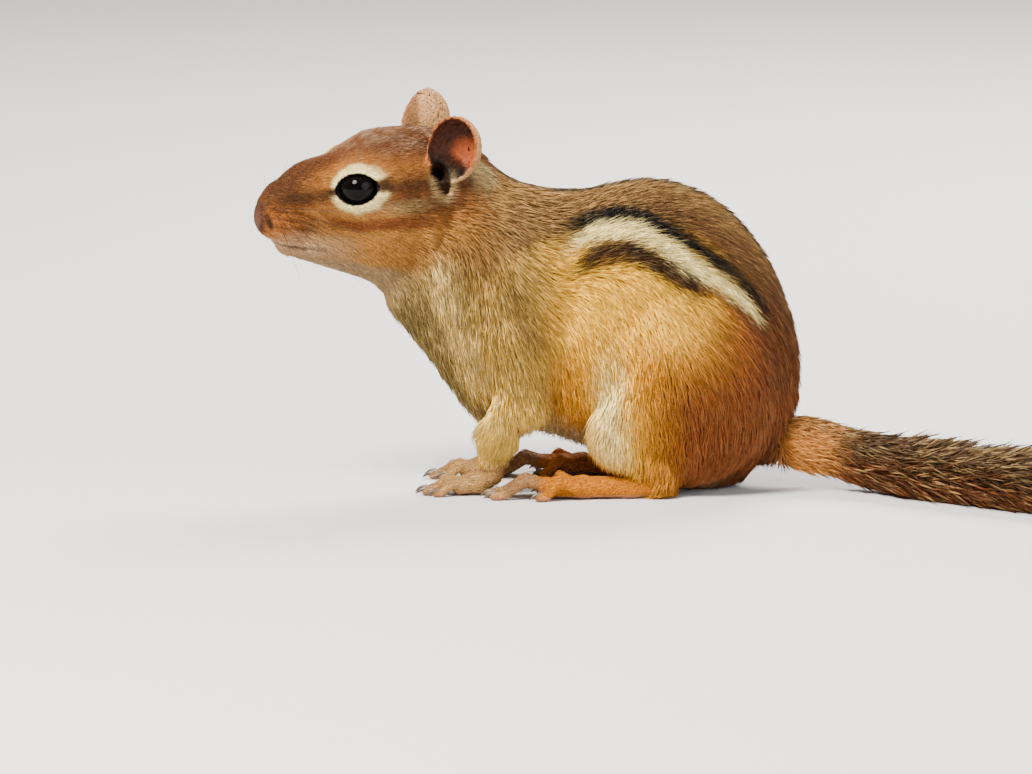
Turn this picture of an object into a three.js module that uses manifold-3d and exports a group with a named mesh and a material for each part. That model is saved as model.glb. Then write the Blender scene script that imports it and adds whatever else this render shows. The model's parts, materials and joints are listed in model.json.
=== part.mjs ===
// A life-size model of an eastern chipmunk that sits on its hind feet with its forepaws on the ground.
// Millimetres, +Z up. The nose points along -X, the animal's left side faces -Y, and the ground is z = 0.
import * as THREE from "three";
import { mergeVertices } from "three/addons/utils/BufferGeometryUtils.js";
import Module from "manifold-3d";

const wasm = await Module();
wasm.setup();

// Driving sizes
const GAP = 0.3;
const BACK_HEIGHT = 68;
const HEAD_CENTRE = [-42, 0, 62];
const HEAD_YAW = THREE.MathUtils.degToRad(13);
const HEAD_ROLL = THREE.MathUtils.degToRad(9);
const EYE_CENTRE = [-16.2, 7.6, 5.5];
const EYE_RADIUS = 4.5;
const LID_RADIUS = EYE_RADIUS + GAP + 0.7;
const EYE_OPENING = { length: 9.4, height: 6.2 };
const EAR_WALL = 0.9;
const TAIL_LENGTH = 89;
const RIGHT_PAW_BACK = 1.5;
const CELL = { trunk: 2.2, head: 1.1 };
const SURFACE_ERROR = { body: 0.45, head: 0.24, small: 0.16 };

// Small vector helpers on plain arrays
const add = (a, b) => [a[0] + b[0], a[1] + b[1], a[2] + b[2]];
const sub = (a, b) => [a[0] - b[0], a[1] - b[1], a[2] - b[2]];
const times = (a, k) => [a[0] * k, a[1] * k, a[2] * k];
const dot = (a, b) => a[0] * b[0] + a[1] * b[1] + a[2] * b[2];
const mix = (a, b, t) => a + (b - a) * t;

// Distance fields, negative inside
function ball(centre, radii, pitch = 0) {
  const c = Math.cos(pitch);
  const s = Math.sin(pitch);
  return (p) => {
    const [x, y, z] = sub(p, centre);
    const q = [(x * c - z * s) / radii[0], y / radii[1], (x * s + z * c) / radii[2]];
    const k0 = Math.hypot(...q);
    const k1 = Math.hypot(q[0] / radii[0], q[1] / radii[1], q[2] / radii[2]);
    return k1 < 1e-9 ? -Math.min(...radii) : (k0 * (k0 - 1)) / k1;
  };
}

function bar(start, end, startRadius, endRadius) {
  const along = sub(end, start);
  const length2 = dot(along, along);
  return (p) => {
    const t = Math.min(1, Math.max(0, dot(sub(p, start), along) / length2));
    return Math.hypot(...sub(p, add(start, times(along, t)))) - mix(startRadius, endRadius, t);
  };
}

function blend(a, b, width) {
  const h = Math.max(width - Math.abs(a - b), 0) / width;
  return Math.min(a, b) - (h * h * width) / 4;
}

// Forms that are alike on both sides are given once, for y > 0
const mirrored = (field) => (p) => field([p[0], Math.abs(p[1]), p[2]]);

// The head's own frame: turned towards the animal's left and tipped a little to that side
const headMatrix = new THREE.Matrix4()
  .makeTranslation(...HEAD_CENTRE)
  .multiply(new THREE.Matrix4().makeRotationZ(HEAD_YAW))
  .multiply(new THREE.Matrix4().makeRotationX(HEAD_ROLL));
const headInverse = headMatrix.clone().invert();

function inHead(p) {
  const v = new THREE.Vector3(...p).applyMatrix4(headInverse);
  return [v.x, v.y, v.z];
}

const trunkForms = [
  { field: ball([-16, 0, 40], [24, 16.5, 24]), soft: 6 }, // rib cage
  { field: ball([5, 0, 40.5], [28, 19, BACK_HEIGHT - 41]), soft: 8 }, // loins
  { field: ball([17, 0, 26.2], [22, 17.5, 26.9]), soft: 8 }, // rump
  { field: bar([-39.3, 0, 46.2], [-26, 0, 26], 12.9, 11), soft: 7 }, // breast
  { field: bar([-38, 0, 60], [-22, 0, 48], 14.5, 17), soft: 6 }, // neck
  { field: ball([-4, 0, 28], [20, 17, 18]), soft: 8 }, // belly
  { field: ball([14, 12.5, 24], [19, 10.5, 21.5]), soft: 4 }, // haunch
  { field: bar([13, 14, 26], [0.5, 15.5, 15], 12, 7.4), soft: 4 }, // thigh and knee
  { field: bar([1, 15.5, 12], [9, 15, 5], 6, 4.5), soft: 3 }, // shank
  { field: ball([-21, 11.5, 38], [10.5, 7, 15]), soft: 5 }, // shoulder
  { field: bar([-22, 12, 34], [-21, 13, 21], 8, 6.4), soft: 4 }, // upper arm
].map(({ field, soft }) => ({ field: mirrored(field), soft }));

const headForms = [
  { field: ball([-3, 0, 3], [17, 13, 14]), soft: 6 }, // brain case
  { field: ball([-6, 6, -6], [12, 8.5, 9]), soft: 6 }, // cheek
  { field: ball([-18, 5, -1], [9, 5.6, 6.5]), soft: 5 }, // cheekbone
  { field: bar([-12, 0, 5.6], [-31.5, 0, 1.4], 9.6, 4.1), soft: 5 }, // bridge of the nose
  { field: ball([-24.5, 0, 3.6], [6.8, 5, 6.1]), soft: 3 }, // brow
  { field: bar([-10, 0, -8.8], [-29, 0, -7.8], 9.2, 3.8), soft: 4 }, // jaw
  { field: bar(EYE_CENTRE, EYE_CENTRE.map((c) => c + 0.01), LID_RADIUS, LID_RADIUS), soft: 2 }, // lids
  { field: ball([-34.6, 0, -2.5], [2.8, 3.2, 3.8]), soft: 3 }, // nose
  { field: ball([-30.5, 2.6, -4.5], [4.6, 3, 3.4]), soft: 3 }, // whisker pad
].map(({ field, soft }) => ({ field: mirrored(field), soft }));

function flesh(p) {
  let d = 1e3;
  for (const { field, soft } of trunkForms) d = blend(d, field(p), soft);
  const q = inHead(p);
  for (const { field, soft } of headForms) d = blend(d, field(q), soft);
  return d;
}

// Surface nets: one vertex for each group of joined inside corners of a cell, one quad for each crossed edge
const CORNERS = Array.from({ length: 8 }, (_, i) => [i & 1, (i >> 1) & 1, (i >> 2) & 1]);

function cornerGroups(inside) {
  const group = new Array(8).fill(-1);
  let count = 0;
  for (let first = 0; first < 8; first++) {
    if (!inside[first] || group[first] >= 0) continue;
    const open = [first];
    group[first] = count;
    while (open.length) {
      const i = open.pop();
      for (const bit of [1, 2, 4]) {
        const j = i ^ bit;
        if (inside[j] && group[j] < 0) {
          group[j] = count;
          open.push(j);
        }
      }
    }
    count++;
  }
  return { group, count };
}

function netted(field, low, high, cell) {
  const n = [0, 1, 2].map((k) => Math.ceil((high[k] - low[k]) / cell) + 1);
  const at = (i, j, k) => i + n[0] * (j + n[1] * k);
  const place = (i, j, k) => [low[0] + i * cell, low[1] + j * cell, low[2] + k * cell];
  const value = new Float64Array(n[0] * n[1] * n[2]);
  for (let k = 0; k < n[2]; k++)
    for (let j = 0; j < n[1]; j++)
      for (let i = 0; i < n[0]; i++) {
        const edge = [i, j, k].some((m, axis) => m === 0 || m === n[axis] - 1);
        const d = field(place(i, j, k));
        value[at(i, j, k)] = edge ? Math.max(d, cell / 4) : d;
      }
  const positions = [];
  const cells = new Map();
  for (let k = 0; k + 1 < n[2]; k++)
    for (let j = 0; j + 1 < n[1]; j++)
      for (let i = 0; i + 1 < n[0]; i++) {
        const v = CORNERS.map(([a, b, c]) => value[at(i + a, j + b, k + c)]);
        const inside = v.map((d) => d < 0);
        if (inside.every(Boolean) || !inside.some(Boolean)) continue;
        const { group, count } = cornerGroups(inside);
        const sums = Array.from({ length: count }, () => [0, 0, 0, 0]);
        for (let c = 0; c < 8; c++)
          for (const bit of [1, 2, 4]) {
            const d = c ^ bit;
            if (!inside[c] || inside[d]) continue;
            const t = v[c] / (v[c] - v[d]);
            const sum = sums[group[c]];
            for (let axis = 0; axis < 3; axis++) sum[axis] += mix(CORNERS[c][axis], CORNERS[d][axis], t);
            sum[3]++;
          }
        const first = positions.length / 3;
        const base = place(i, j, k);
        for (const s of sums)
          positions.push(...[0, 1, 2].map((axis) => base[axis] + (cell * s[axis]) / s[3]));
        cells.set(at(i, j, k), { first, group });
      }
  const index = [];
  const vertexOf = (i, j, k, corner) => {
    const c = cells.get(at(i, j, k));
    return c.first + c.group[corner];
  };
  for (let k = 0; k < n[2]; k++)
    for (let j = 0; j < n[1]; j++)
      for (let i = 0; i < n[0]; i++)
        for (let axis = 0; axis < 3; axis++) {
          const here = [i, j, k];
          const next = [i, j, k];
          next[axis]++;
          if (next[axis] >= n[axis]) continue;
          const startIn = value[at(...here)] < 0;
          if (startIn === value[at(...next)] < 0) continue;
          const inner = startIn ? here : next;
          const u = (axis + 1) % 3;
          const w = (axis + 2) % 3;
          const quad = [[-1, -1], [0, -1], [0, 0], [-1, 0]].map(([du, dw]) => {
            const c = [...here];
            c[u] += du;
            c[w] += dw;
            const offset = sub(inner, c);
            return vertexOf(...c, offset[0] + 2 * offset[1] + 4 * offset[2]);
          });
          const [a, b, c, d] = startIn ? quad : [...quad].reverse();
          index.push(a, b, c, a, c, d);
        }
  const geometry = new THREE.BufferGeometry();
  geometry.setAttribute("position", new THREE.Float32BufferAttribute(positions, 3));
  geometry.setIndex(index);
  return geometry;
}

// Fewer triangles on the same surface: edges are folded up, the flattest first, while the error stays small
function thinned(geometry, error) {
  const at = geometry.attributes.position;
  const points = Array.from({ length: at.count }, (_, i) => [at.getX(i), at.getY(i), at.getZ(i)]);
  const faces = [];
  const around = points.map(() => new Set());
  const index = geometry.index.array;
  for (let i = 0; i < index.length; i += 3) {
    faces.push([index[i], index[i + 1], index[i + 2]]);
    for (const v of faces.at(-1)) around[v].add(faces.length - 1);
  }
  const normalOf = (a, b, c) => {
    const [u, v] = [sub(b, a), sub(c, a)];
    return [u[1] * v[2] - u[2] * v[1], u[2] * v[0] - u[0] * v[2], u[0] * v[1] - u[1] * v[0]];
  };
  // Each point keeps the planes of its faces; its cost at a place is the sum of squared distances to them
  const quadric = points.map(() => new Float64Array(10));
  for (const face of faces) {
    const n = normalOf(...face.map((v) => points[v]));
    const size = Math.hypot(...n) || 1;
    const [a, b, c] = times(n, 1 / size);
    const d = -dot([a, b, c], points[face[0]]);
    const terms = [a * a, a * b, a * c, a * d, b * b, b * c, b * d, c * c, c * d, d * d];
    for (const v of face) terms.forEach((term, k) => (quadric[v][k] += term));
  }
  const costAt = (q, [x, y, z]) =>
    q[0] * x * x + 2 * q[1] * x * y + 2 * q[2] * x * z + 2 * q[3] * x + q[4] * y * y +
    2 * q[5] * y * z + 2 * q[6] * y + q[7] * z * z + 2 * q[8] * z + q[9];
  const neighbours = (v) => new Set([...around[v]].flatMap((f) => faces[f]).filter((w) => w !== v));
  const best = (a, b) => {
    const q = quadric[a].map((value, k) => value + quadric[b][k]);
    const places = [points[a], points[b], times(add(points[a], points[b]), 0.5)];
    return places.map((place) => ({ place, cost: costAt(q, place) })).sort((m, n) => m.cost - n.cost)[0];
  };
  const version = points.map(() => 0);
  const buckets = Array.from({ length: 64 }, () => []);
  const limit = error * error;
  const offer = (a, b) => {
    const { place, cost } = best(a, b);
    if (cost > limit) return;
    const length2 = dot(sub(points[a], points[b]), sub(points[a], points[b]));
    const rank = Math.min(63, Math.floor(64 * Math.sqrt(Math.max(0, cost) / limit) * 0.9 + length2 * 0.2));
    buckets[rank].push({ a, b, place, stamp: version[a] + version[b] });
  };
  points.forEach((_, a) => neighbours(a).forEach((b) => a < b && offer(a, b)));
  const turnsOver = (v, gone, place) =>
    [...around[v]].some((f) => {
      if (faces[f].includes(gone)) return false;
      const before = normalOf(...faces[f].map((w) => points[w]));
      const after = normalOf(...faces[f].map((w) => (w === v ? place : points[w])));
      return dot(before, after) < 0.35 * Math.hypot(...before) * Math.hypot(...after);
    });
  for (let rank = 0; rank < 64; ) {
    const edge = buckets[rank].pop();
    if (!edge) {
      rank++;
      continue;
    }
    const { a, b, place, stamp } = edge;
    if (!around[a].size || !around[b].size || stamp !== version[a] + version[b]) continue;
    const near = neighbours(a);
    const shared = [...neighbours(b)].filter((w) => near.has(w));
    if (!near.has(b) || shared.length !== 2) continue;
    if (shared.some((w) => around[w].size <= 3)) continue;
    if (turnsOver(a, b, place) || turnsOver(b, a, place)) continue;
    points[a] = place;
    quadric[b].forEach((value, k) => (quadric[a][k] += value));
    for (const f of around[b]) {
      if (faces[f].includes(a)) {
        for (const w of faces[f]) if (w !== b) around[w].delete(f);
        faces[f] = null;
      } else {
        faces[f] = faces[f].map((w) => (w === b ? a : w));
        around[a].add(f);
      }
    }
    around[b].clear();
    version[a]++;
    for (const w of neighbours(a)) {
      version[w]++;
    }
    for (const w of neighbours(a)) {
      offer(a, w);
      for (const u of neighbours(w)) if (u !== a) offer(w, u);
    }
    rank = 0;
  }
  const kept = points.map((_, v) => v).filter((v) => around[v].size);
  const renumbered = new Map(kept.map((v, i) => [v, i]));
  const light = new THREE.BufferGeometry();
  light.setAttribute("position", new THREE.Float32BufferAttribute(kept.flatMap((v) => points[v]), 3));
  light.setIndex(faces.filter(Boolean).flatMap((face) => face.map((v) => renumbered.get(v))));
  light.computeVertexNormals();
  return light;
}

// A closed geometry as a solid that can be cut and joined, and back
function solid(geometry, matrix = new THREE.Matrix4()) {
  const bare = geometry.clone().applyMatrix4(matrix);
  for (const name of ["normal", "uv"]) bare.deleteAttribute(name);
  const merged = mergeVertices(bare, 1e-4);
  return new wasm.Manifold(
    new wasm.Mesh({
      numProp: 3,
      vertProperties: new Float32Array(merged.attributes.position.array),
      triVerts: new Uint32Array(merged.index.array),
    }),
  );
}

function geometryOf(s) {
  const { numProp, numVert, vertProperties, triVerts } = s.getMesh();
  const positions = new Float32Array(numVert * 3);
  for (let i = 0; i < numVert; i++)
    positions.set(vertProperties.subarray(i * numProp, i * numProp + 3), i * 3);
  const geometry = new THREE.BufferGeometry();
  geometry.setAttribute("position", new THREE.BufferAttribute(positions, 3));
  geometry.setIndex(new THREE.BufferAttribute(triVerts, 1));
  geometry.computeVertexNormals();
  return geometry;
}

const largest = (s) => s.decompose().sort((a, b) => b.volume() - a.volume())[0];
const trimmed = (s, ...others) => largest(others.reduce((left, other) => left.subtract(other), s));
const joined = (pieces) => pieces.reduce((sum, piece) => sum.add(piece));

// A closed tube through the given points, oval in section, with round ends
const TUBE = { sides: 8, flat: 1, up: [0, 0, 1], grow: 0, round: true };

function tube({ path, radii, steps = path.length, ...choices }) {
  const { sides, flat, up, grow, round } = { ...TUBE, ...choices };
  const curve = new THREE.CatmullRomCurve3(path.map((p) => new THREE.Vector3(...p)));
  const upward = new THREE.Vector3(...up);
  const radiusAt = (t) => {
    const k = Math.min(radii.length - 2, Math.floor(t * (radii.length - 1)));
    return mix(radii[k], radii[k + 1], t * (radii.length - 1) - k) + grow;
  };
  const rings = [];
  const ends = round ? [30, 60].map((angle) => Math.sin(THREE.MathUtils.degToRad(angle))) : [];
  for (const out of [...ends].reverse()) rings.push({ t: 0, out: -out });
  for (let i = 0; i <= steps; i++) rings.push({ t: i / steps, out: 0 });
  for (const out of ends) rings.push({ t: 1, out });
  const positions = [];
  const poleAt = (t, out) =>
    curve.getPoint(t).addScaledVector(curve.getTangent(t), out * radiusAt(t) * flat);
  for (const { t, out } of rings) {
    const along = curve.getTangent(t);
    const side = new THREE.Vector3().crossVectors(upward, along).normalize();
    const rise = new THREE.Vector3().crossVectors(along, side);
    const centre = poleAt(t, out);
    const radius = radiusAt(t) * Math.sqrt(1 - out * out);
    for (let j = 0; j < sides; j++) {
      const angle = (2 * Math.PI * j) / sides;
      positions.push(
        ...centre
          .clone()
          .addScaledVector(side, Math.cos(angle) * radius)
          .addScaledVector(rise, Math.sin(angle) * radius * flat),
      );
    }
  }
  const first = positions.length / 3;
  positions.push(...poleAt(0, -1), ...poleAt(1, 1));
  const index = [];
  for (let i = 0; i + 1 < rings.length; i++)
    for (let j = 0; j < sides; j++) {
      const [a, b] = [i * sides + j, i * sides + ((j + 1) % sides)];
      index.push(a, b, b + sides, a, b + sides, a + sides);
    }
  const last = (rings.length - 1) * sides;
  for (let j = 0; j < sides; j++) {
    const k = (j + 1) % sides;
    index.push(first, k, j, first + 1, last + j, last + k);
  }
  const geometry = new THREE.BufferGeometry();
  geometry.setAttribute("position", new THREE.Float32BufferAttribute(positions, 3));
  geometry.setIndex(index);
  return solid(geometry);
}

// Cutters
const placed = (matrix, ...more) => more.reduce((m, next) => m.multiply(next), matrix.clone());
const shift = (v) => new THREE.Matrix4().makeTranslation(...v);

function egg(centre, radii, { grow = 0, pitch = 0, matrix = new THREE.Matrix4(), segments = 20 } = {}) {
  const size = radii.map((r) => r + grow);
  const placing = placed(matrix, shift(centre), new THREE.Matrix4().makeRotationY(pitch));
  placing.multiply(new THREE.Matrix4().makeScale(...size));
  return solid(new THREE.SphereGeometry(1, segments, Math.round(segments * 0.7)), placing);
}

// Everything on the side of a plane that its normal points to, from an offset on
function beyond(point, normal, offset = 0) {
  const size = 400;
  const direction = new THREE.Vector3(...normal).normalize();
  const turn = new THREE.Matrix4().makeRotationFromQuaternion(
    new THREE.Quaternion().setFromUnitVectors(new THREE.Vector3(0, 0, 1), direction),
  );
  const box = new THREE.BoxGeometry(size, size, size).translate(0, 0, size / 2 + offset);
  return solid(box, placed(shift(point), turn));
}

const underground = beyond([0, 0, 0], [0, 0, -1]);
const sideName = (s) => (s < 0 ? "left" : "right");
const onSide = (s, p) => [p[0], s * p[1], p[2]];

// The flesh of trunk and head, the head finer, and both again grown by the gap to cut what meets them
const trunkBox = [[-62, -34, -6], [46, 34, 82]];
const headBox = [[-84, -24, 40], [-22, 22, 86]];
const trunk = solid(netted(flesh, ...trunkBox, CELL.trunk));
const trunkGrown = solid(netted((p) => flesh(p) - GAP, ...trunkBox, CELL.trunk));
const headFlesh = solid(netted(flesh, ...headBox, CELL.head));
const headGrown = solid(netted((p) => flesh(p) - GAP, ...headBox, CELL.head * 1.3));

// Where head, neck and torso part
const headCut = { point: [-39, 0, 58], normal: [-0.75, 0, 0.66] };
const neckCut = { point: [-24, 0, 50], normal: [-0.8, 0, 0.6] };

// Points of the head's surface, in the head's own frame
const headToWorld = (q) => new THREE.Vector3(...q).applyMatrix4(headMatrix).toArray();

function surfaceFrom(start, direction) {
  let [near, far] = [0, 30];
  for (let i = 0; i < 30; i++) {
    const middle = (near + far) / 2;
    if (flesh(headToWorld(add(start, times(direction, middle)))) < 0) near = middle;
    else far = middle;
  }
  return add(start, times(direction, near));
}

const eyeCentre = (s) => onSide(s, EYE_CENTRE);
const eyeLook = (s) => new THREE.Vector3(-0.33, s * 0.93, 0.16).normalize();

const eyeball = (s, grow, segments) =>
  egg(eyeCentre(s), [EYE_RADIUS, EYE_RADIUS, EYE_RADIUS], { grow, matrix: headMatrix, segments });

// The almond between the lids: where two round bars overlap, one set high and one low
function eyeOpening(s) {
  const { length, height } = EYE_OPENING;
  const radius = ((length / 2) ** 2 + (height / 2) ** 2) / height;
  const offset = radius - height / 2;
  const look = eyeLook(s);
  const upward = new THREE.Vector3(-0.16, 0, 1).addScaledVector(look, -0.16 * look.z).normalize();
  const along = new THREE.Vector3().crossVectors(upward, look).normalize();
  const rise = new THREE.Vector3().crossVectors(look, along);
  const frame = new THREE.Matrix4().makeBasis(along, look, rise).setPosition(...eyeCentre(s));
  const round = new THREE.CylinderGeometry(radius, radius, 12, 28);
  const bars = [-1, 1].map((k) => solid(round, placed(headMatrix, frame, shift([0, 7.5, k * offset]))));
  return bars[0].intersect(bars[1]);
}

// The right ear points a little further forward than the left
const EAR = { centre: [3.2, 11.6, 14.6], radii: [6.2, 4.4, 7.2], lean: 0.12, forward: 1.8 };
const earCentre = (s) => add(onSide(s, EAR.centre), [s > 0 ? -EAR.forward : 0, 0, 0]);

function earShell(s, shrink) {
  const choices = { grow: -shrink, pitch: EAR.lean, matrix: headMatrix, segments: 24 };
  return egg(earCentre(s), EAR.radii, choices);
}

function ear(s) {
  const mouth = headToWorld(add(earCentre(s), [-0.8, s * 0.2, 0]));
  const look = new THREE.Vector3(-0.5, s * 0.84, 0.1).transformDirection(headMatrix).toArray();
  const cup = earShell(s, 0).subtract(earShell(s, EAR_WALL)).subtract(beyond(mouth, look));
  return trimmed(cup, headGrown);
}

function mouthGroove() {
  const corners = [[-23, -8.6], [-27, -8.9], [-31, -8.2], [-34, -7.2]];
  const left = corners.map(([x, z]) => surfaceFrom([x, 0, z], [0, -1, 0]));
  const right = left.map(([x, y, z]) => [x, -y, z]).reverse();
  const front = surfaceFrom([-32, 0, -7], [-1, 0, 0]);
  const path = [...left, front, ...right].map(headToWorld);
  return tube({ path, radii: [0.25, 0.5, 0.5, 0.5, 0.5, 0.5, 0.5, 0.5, 0.25], sides: 6, steps: 18 });
}

function nostril(s) {
  const [x, y, z] = surfaceFrom([-35.4, 0, -2.6], [0, s, 0]);
  return egg([x, y, z], [0.8, 0.9, 1.1], { matrix: headMatrix, segments: 10 });
}

function head() {
  const cuts = [mouthGroove(), beyond(headCut.point, times(headCut.normal, -1), -GAP / 2)];
  for (const s of [-1, 1]) {
    cuts.push(eyeball(s, GAP, 20));
    cuts.push(eyeOpening(s), nostril(s), earShell(s, EAR_WALL));
  }
  return trimmed(headFlesh, ...cuts);
}

// Limbs. Regions part the thigh, shank and upper arm from the flesh that they share with the torso.
const regions = {
  thigh: { centre: [15.5, 23, 24.5], radii: [21.5, 14.5, 25.5] },
  shank: { centre: [2.5, 17, 4], radii: [12, 10, 7.5] },
  upper_arm: { centre: [-21, 18.5, 32], radii: [11.5, 9.5, 20] },
};
const region = (name, s, grow = 0) => egg(onSide(s, regions[name].centre), regions[name].radii, { grow });

const setBack = (s) => (s > 0 ? RIGHT_PAW_BACK : 0);
const foreLimb = (s, points) => points.map(([x, y, z, share = 1]) => [x + share * setBack(s), s * y, z]);
const forearmTube = (s, grow = 0) =>
  tube({
    path: foreLimb(s, [[-21, 13, 20, 0], [-25, 12.6, 12, 0.5], [-28, 12, 5.2]]),
    radii: [6.6, 5, 3.6],
    sides: 12,
    steps: 5,
    up: [1, 0, 0],
    grow,
  });

// Toes fan out from a paw: each goes over its knuckle and down to the ground
function toe({ root, heading, length, radius, arch }, grow = 0) {
  const way = [-Math.cos(heading), Math.sin(heading), 0];
  const rest = radius * 0.7;
  const path = [root, add(root, add(times(way, length * 0.45), [0, 0, arch]))];
  path.push([...add(root, times(way, length * 0.85)).slice(0, 2), rest + arch * 0.2]);
  path.push([...add(root, times(way, length)).slice(0, 2), rest]);
  const radii = [1, 1.05, 0.95, 0.85].map((share) => share * radius);
  return tube({ path, radii, steps: 5, grow });
}

function claw({ root, heading, length, radius }) {
  const way = [-Math.cos(heading), Math.sin(heading), 0];
  const reach = (along, z) => [...add(root, times(way, length + along)).slice(0, 2), z];
  const path = [reach(-0.3, radius * 1.1), reach(1.3, radius * 1.15), reach(2.6, 0.55)];
  return tube({ path, radii: [0.62, 0.5, 0.16], sides: 6, steps: 4 });
}

const foreToes = (s) =>
  [0, 1, 2, 3].map((i) => ({
    root: [setBack(s) - 34.2 + 0.5 * Math.abs(i - 1.4), s * 12 + (i - 1.5) * 1.55, 2.3],
    heading: (i - 1.5) * 0.17,
    length: [6.2, 7.6, 7.4, 5.8][s < 0 ? 3 - i : i],
    radius: 1.05,
    arch: 0.5,
  }));

const palm = (s, grow = 0) =>
  tube({
    path: foreLimb(s, [[-27.6, 12, 5.4], [-30.5, 12, 3], [-34.6, 12, 1.9]]),
    radii: [3.3, 3, 3],
    flat: 0.72,
    sides: 12,
    steps: 4,
    grow,
  });

const hindToes = (s) =>
  [0, 1, 2, 3, 4].map((i) => {
    const outer = i === 4;
    const inner = i === 0;
    return {
      root: [outer || inner ? -9.5 : -15, s * (13.8 + i * 1.75), 2.6],
      heading: s * (i - 2) * 0.12,
      length: [7.4, 11.6, 12.6, 11.8, 7.8][i],
      radius: 1.2,
      arch: 1.3,
    };
  });

const sole = (s, grow = 0) =>
  tube({
    path: [[9, 15.6, 2.1], [2, 16.2, 2], [-8, 17.2, 2.3], [-15.5, 17.4, 2.3]].map((p) => onSide(s, p)),
    radii: [3, 3.1, 3.6, 3.7],
    flat: 0.72,
    sides: 12,
    steps: 6,
    grow,
  });

// Tail: a short-haired root, then a brush of flat locks that lie back over one another on a slender core
const tailPath = new THREE.CatmullRomCurve3(
  [
    [32, 0, 11.5],
    [44, -3, 8.8],
    [58, -11, 6.5],
    [73, -23, 5.9],
    [87, -35, 5.7],
    [104.2, -49.2, 5.2],
  ].map((p) => new THREE.Vector3(...p)),
);
const tailPoint = (t) => tailPath.getPointAt(t).toArray();
const TAIL_SPLIT = 0.22;
const TAIL_FULL = 0.6;
const TAIL_ROOT_RADII = [5.2, 5.3, 5.3, 5.2, 5];
const TAIL_CORE_RADII = [3.7, 3.5, 3.2, 2.6, 1.6];
const LOCK = { rows: 11, around: 6, length: 13, width: 2.8, tip: 0.3, flat: 0.24 };
LOCK.shares = [0, 0.3, 0.65, 1];
LOCK.heights = [1.6, 3.5, 4.9, 5.8];

function tailStretch(from, to, radii, grow = 0) {
  const path = [0, 1, 2, 3, 4].map((i) => tailPoint(mix(from, to, i / 4)));
  return tube({ path, radii, sides: 12, steps: 8, grow });
}

function lock(t, angle, length, width) {
  const along = tailPath.getTangentAt(t);
  const side = new THREE.Vector3().crossVectors(new THREE.Vector3(0, 0, 1), along).normalize();
  const rise = new THREE.Vector3().crossVectors(along, side);
  const out = side.multiplyScalar(Math.cos(angle)).addScaledVector(rise, Math.sin(angle));
  const at = (share, height) => {
    const ahead = t + (share * length) / TAIL_LENGTH;
    const past = Math.max(0, ahead - 1) * TAIL_LENGTH;
    return tailPath
      .getPointAt(Math.min(1, ahead))
      .addScaledVector(tailPath.getTangentAt(1), past)
      .addScaledVector(out, height)
      .toArray();
  };
  const girth = t > TAIL_FULL ? mix(1, 0.6, (t - TAIL_FULL) / (1 - TAIL_FULL)) : 1;
  const path = LOCK.shares.map((share, i) => at(share, LOCK.heights[i] * girth));
  const radii = [width * 0.7, width, width * 0.8, LOCK.tip];
  return tube({ path, radii, sides: 4, steps: 3, flat: LOCK.flat, up: out.toArray(), round: false });
}

function tailBrush() {
  const core = tailStretch(TAIL_SPLIT + 0.015, 0.94, TAIL_CORE_RADII);
  const locks = [];
  for (let row = 0; row < LOCK.rows; row++)
    for (let k = 0; k < LOCK.around; k++) {
      const t = mix(TAIL_SPLIT + 0.02, 0.88, row / (LOCK.rows - 1));
      const angle = ((k + (row % 2) / 2) * 2 * Math.PI) / LOCK.around;
      const length = LOCK.length + 1.5 * Math.sin(row * 2.1 + k * 1.7);
      locks.push(lock(t, angle, length, LOCK.width + 0.3 * Math.sin(row + k * 2.6)));
    }
  return joined([core, ...locks]);
}

// The model
const looks = {
  coat: new THREE.MeshStandardMaterial({ color: 0xb5773a, roughness: 0.85 }),
  crown: new THREE.MeshStandardMaterial({ color: 0xa8612c, roughness: 0.85 }),
  thigh: new THREE.MeshStandardMaterial({ color: 0xb0662c, roughness: 0.85 }),
  paw: new THREE.MeshStandardMaterial({ color: 0xc89a62, roughness: 0.8 }),
  hind_foot: new THREE.MeshStandardMaterial({ color: 0xd08a35, roughness: 0.8 }),
  tail: new THREE.MeshStandardMaterial({ color: 0x8a5a30, roughness: 0.9 }),
  ear: new THREE.MeshStandardMaterial({ color: 0xb9805a, roughness: 0.8 }),
  eye: new THREE.MeshStandardMaterial({ color: 0x0b0806, roughness: 0.05 }),
  claw: new THREE.MeshStandardMaterial({ color: 0x3a2a20, roughness: 0.4 }),
};
const chipmunk = new THREE.Group();

// Every node ends on the ground's plane, so that what rests there has a flat
function place(name, shape, look, error = SURFACE_ERROR.small) {
  const standing = trimmed(solid(thinned(geometryOf(shape), error)), underground);
  const mesh = new THREE.Mesh(geometryOf(standing), looks[look]);
  mesh.name = name;
  chipmunk.add(mesh);
}

const bothSides = [-1, 1];
const grownLimbs = bothSides.flatMap((s) => Object.keys(regions).map((name) => region(name, s, GAP)));
const soles = bothSides.map((s) => sole(s, GAP));
const tailRootGrown = tailStretch(0, TAIL_SPLIT, TAIL_ROOT_RADII, GAP);
const neckSide = beyond(neckCut.point, neckCut.normal, -GAP / 2);

place("head", head(), "crown", SURFACE_ERROR.head);
place(
  "neck",
  trimmed(
    trunk.intersect(beyond(neckCut.point, neckCut.normal, GAP / 2)),
    beyond(headCut.point, headCut.normal, -GAP / 2),
    ...grownLimbs,
  ),
  "coat",
  SURFACE_ERROR.body,
);
place("torso", trimmed(trunk, neckSide, ...grownLimbs, ...soles), "coat", SURFACE_ERROR.body);

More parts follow.
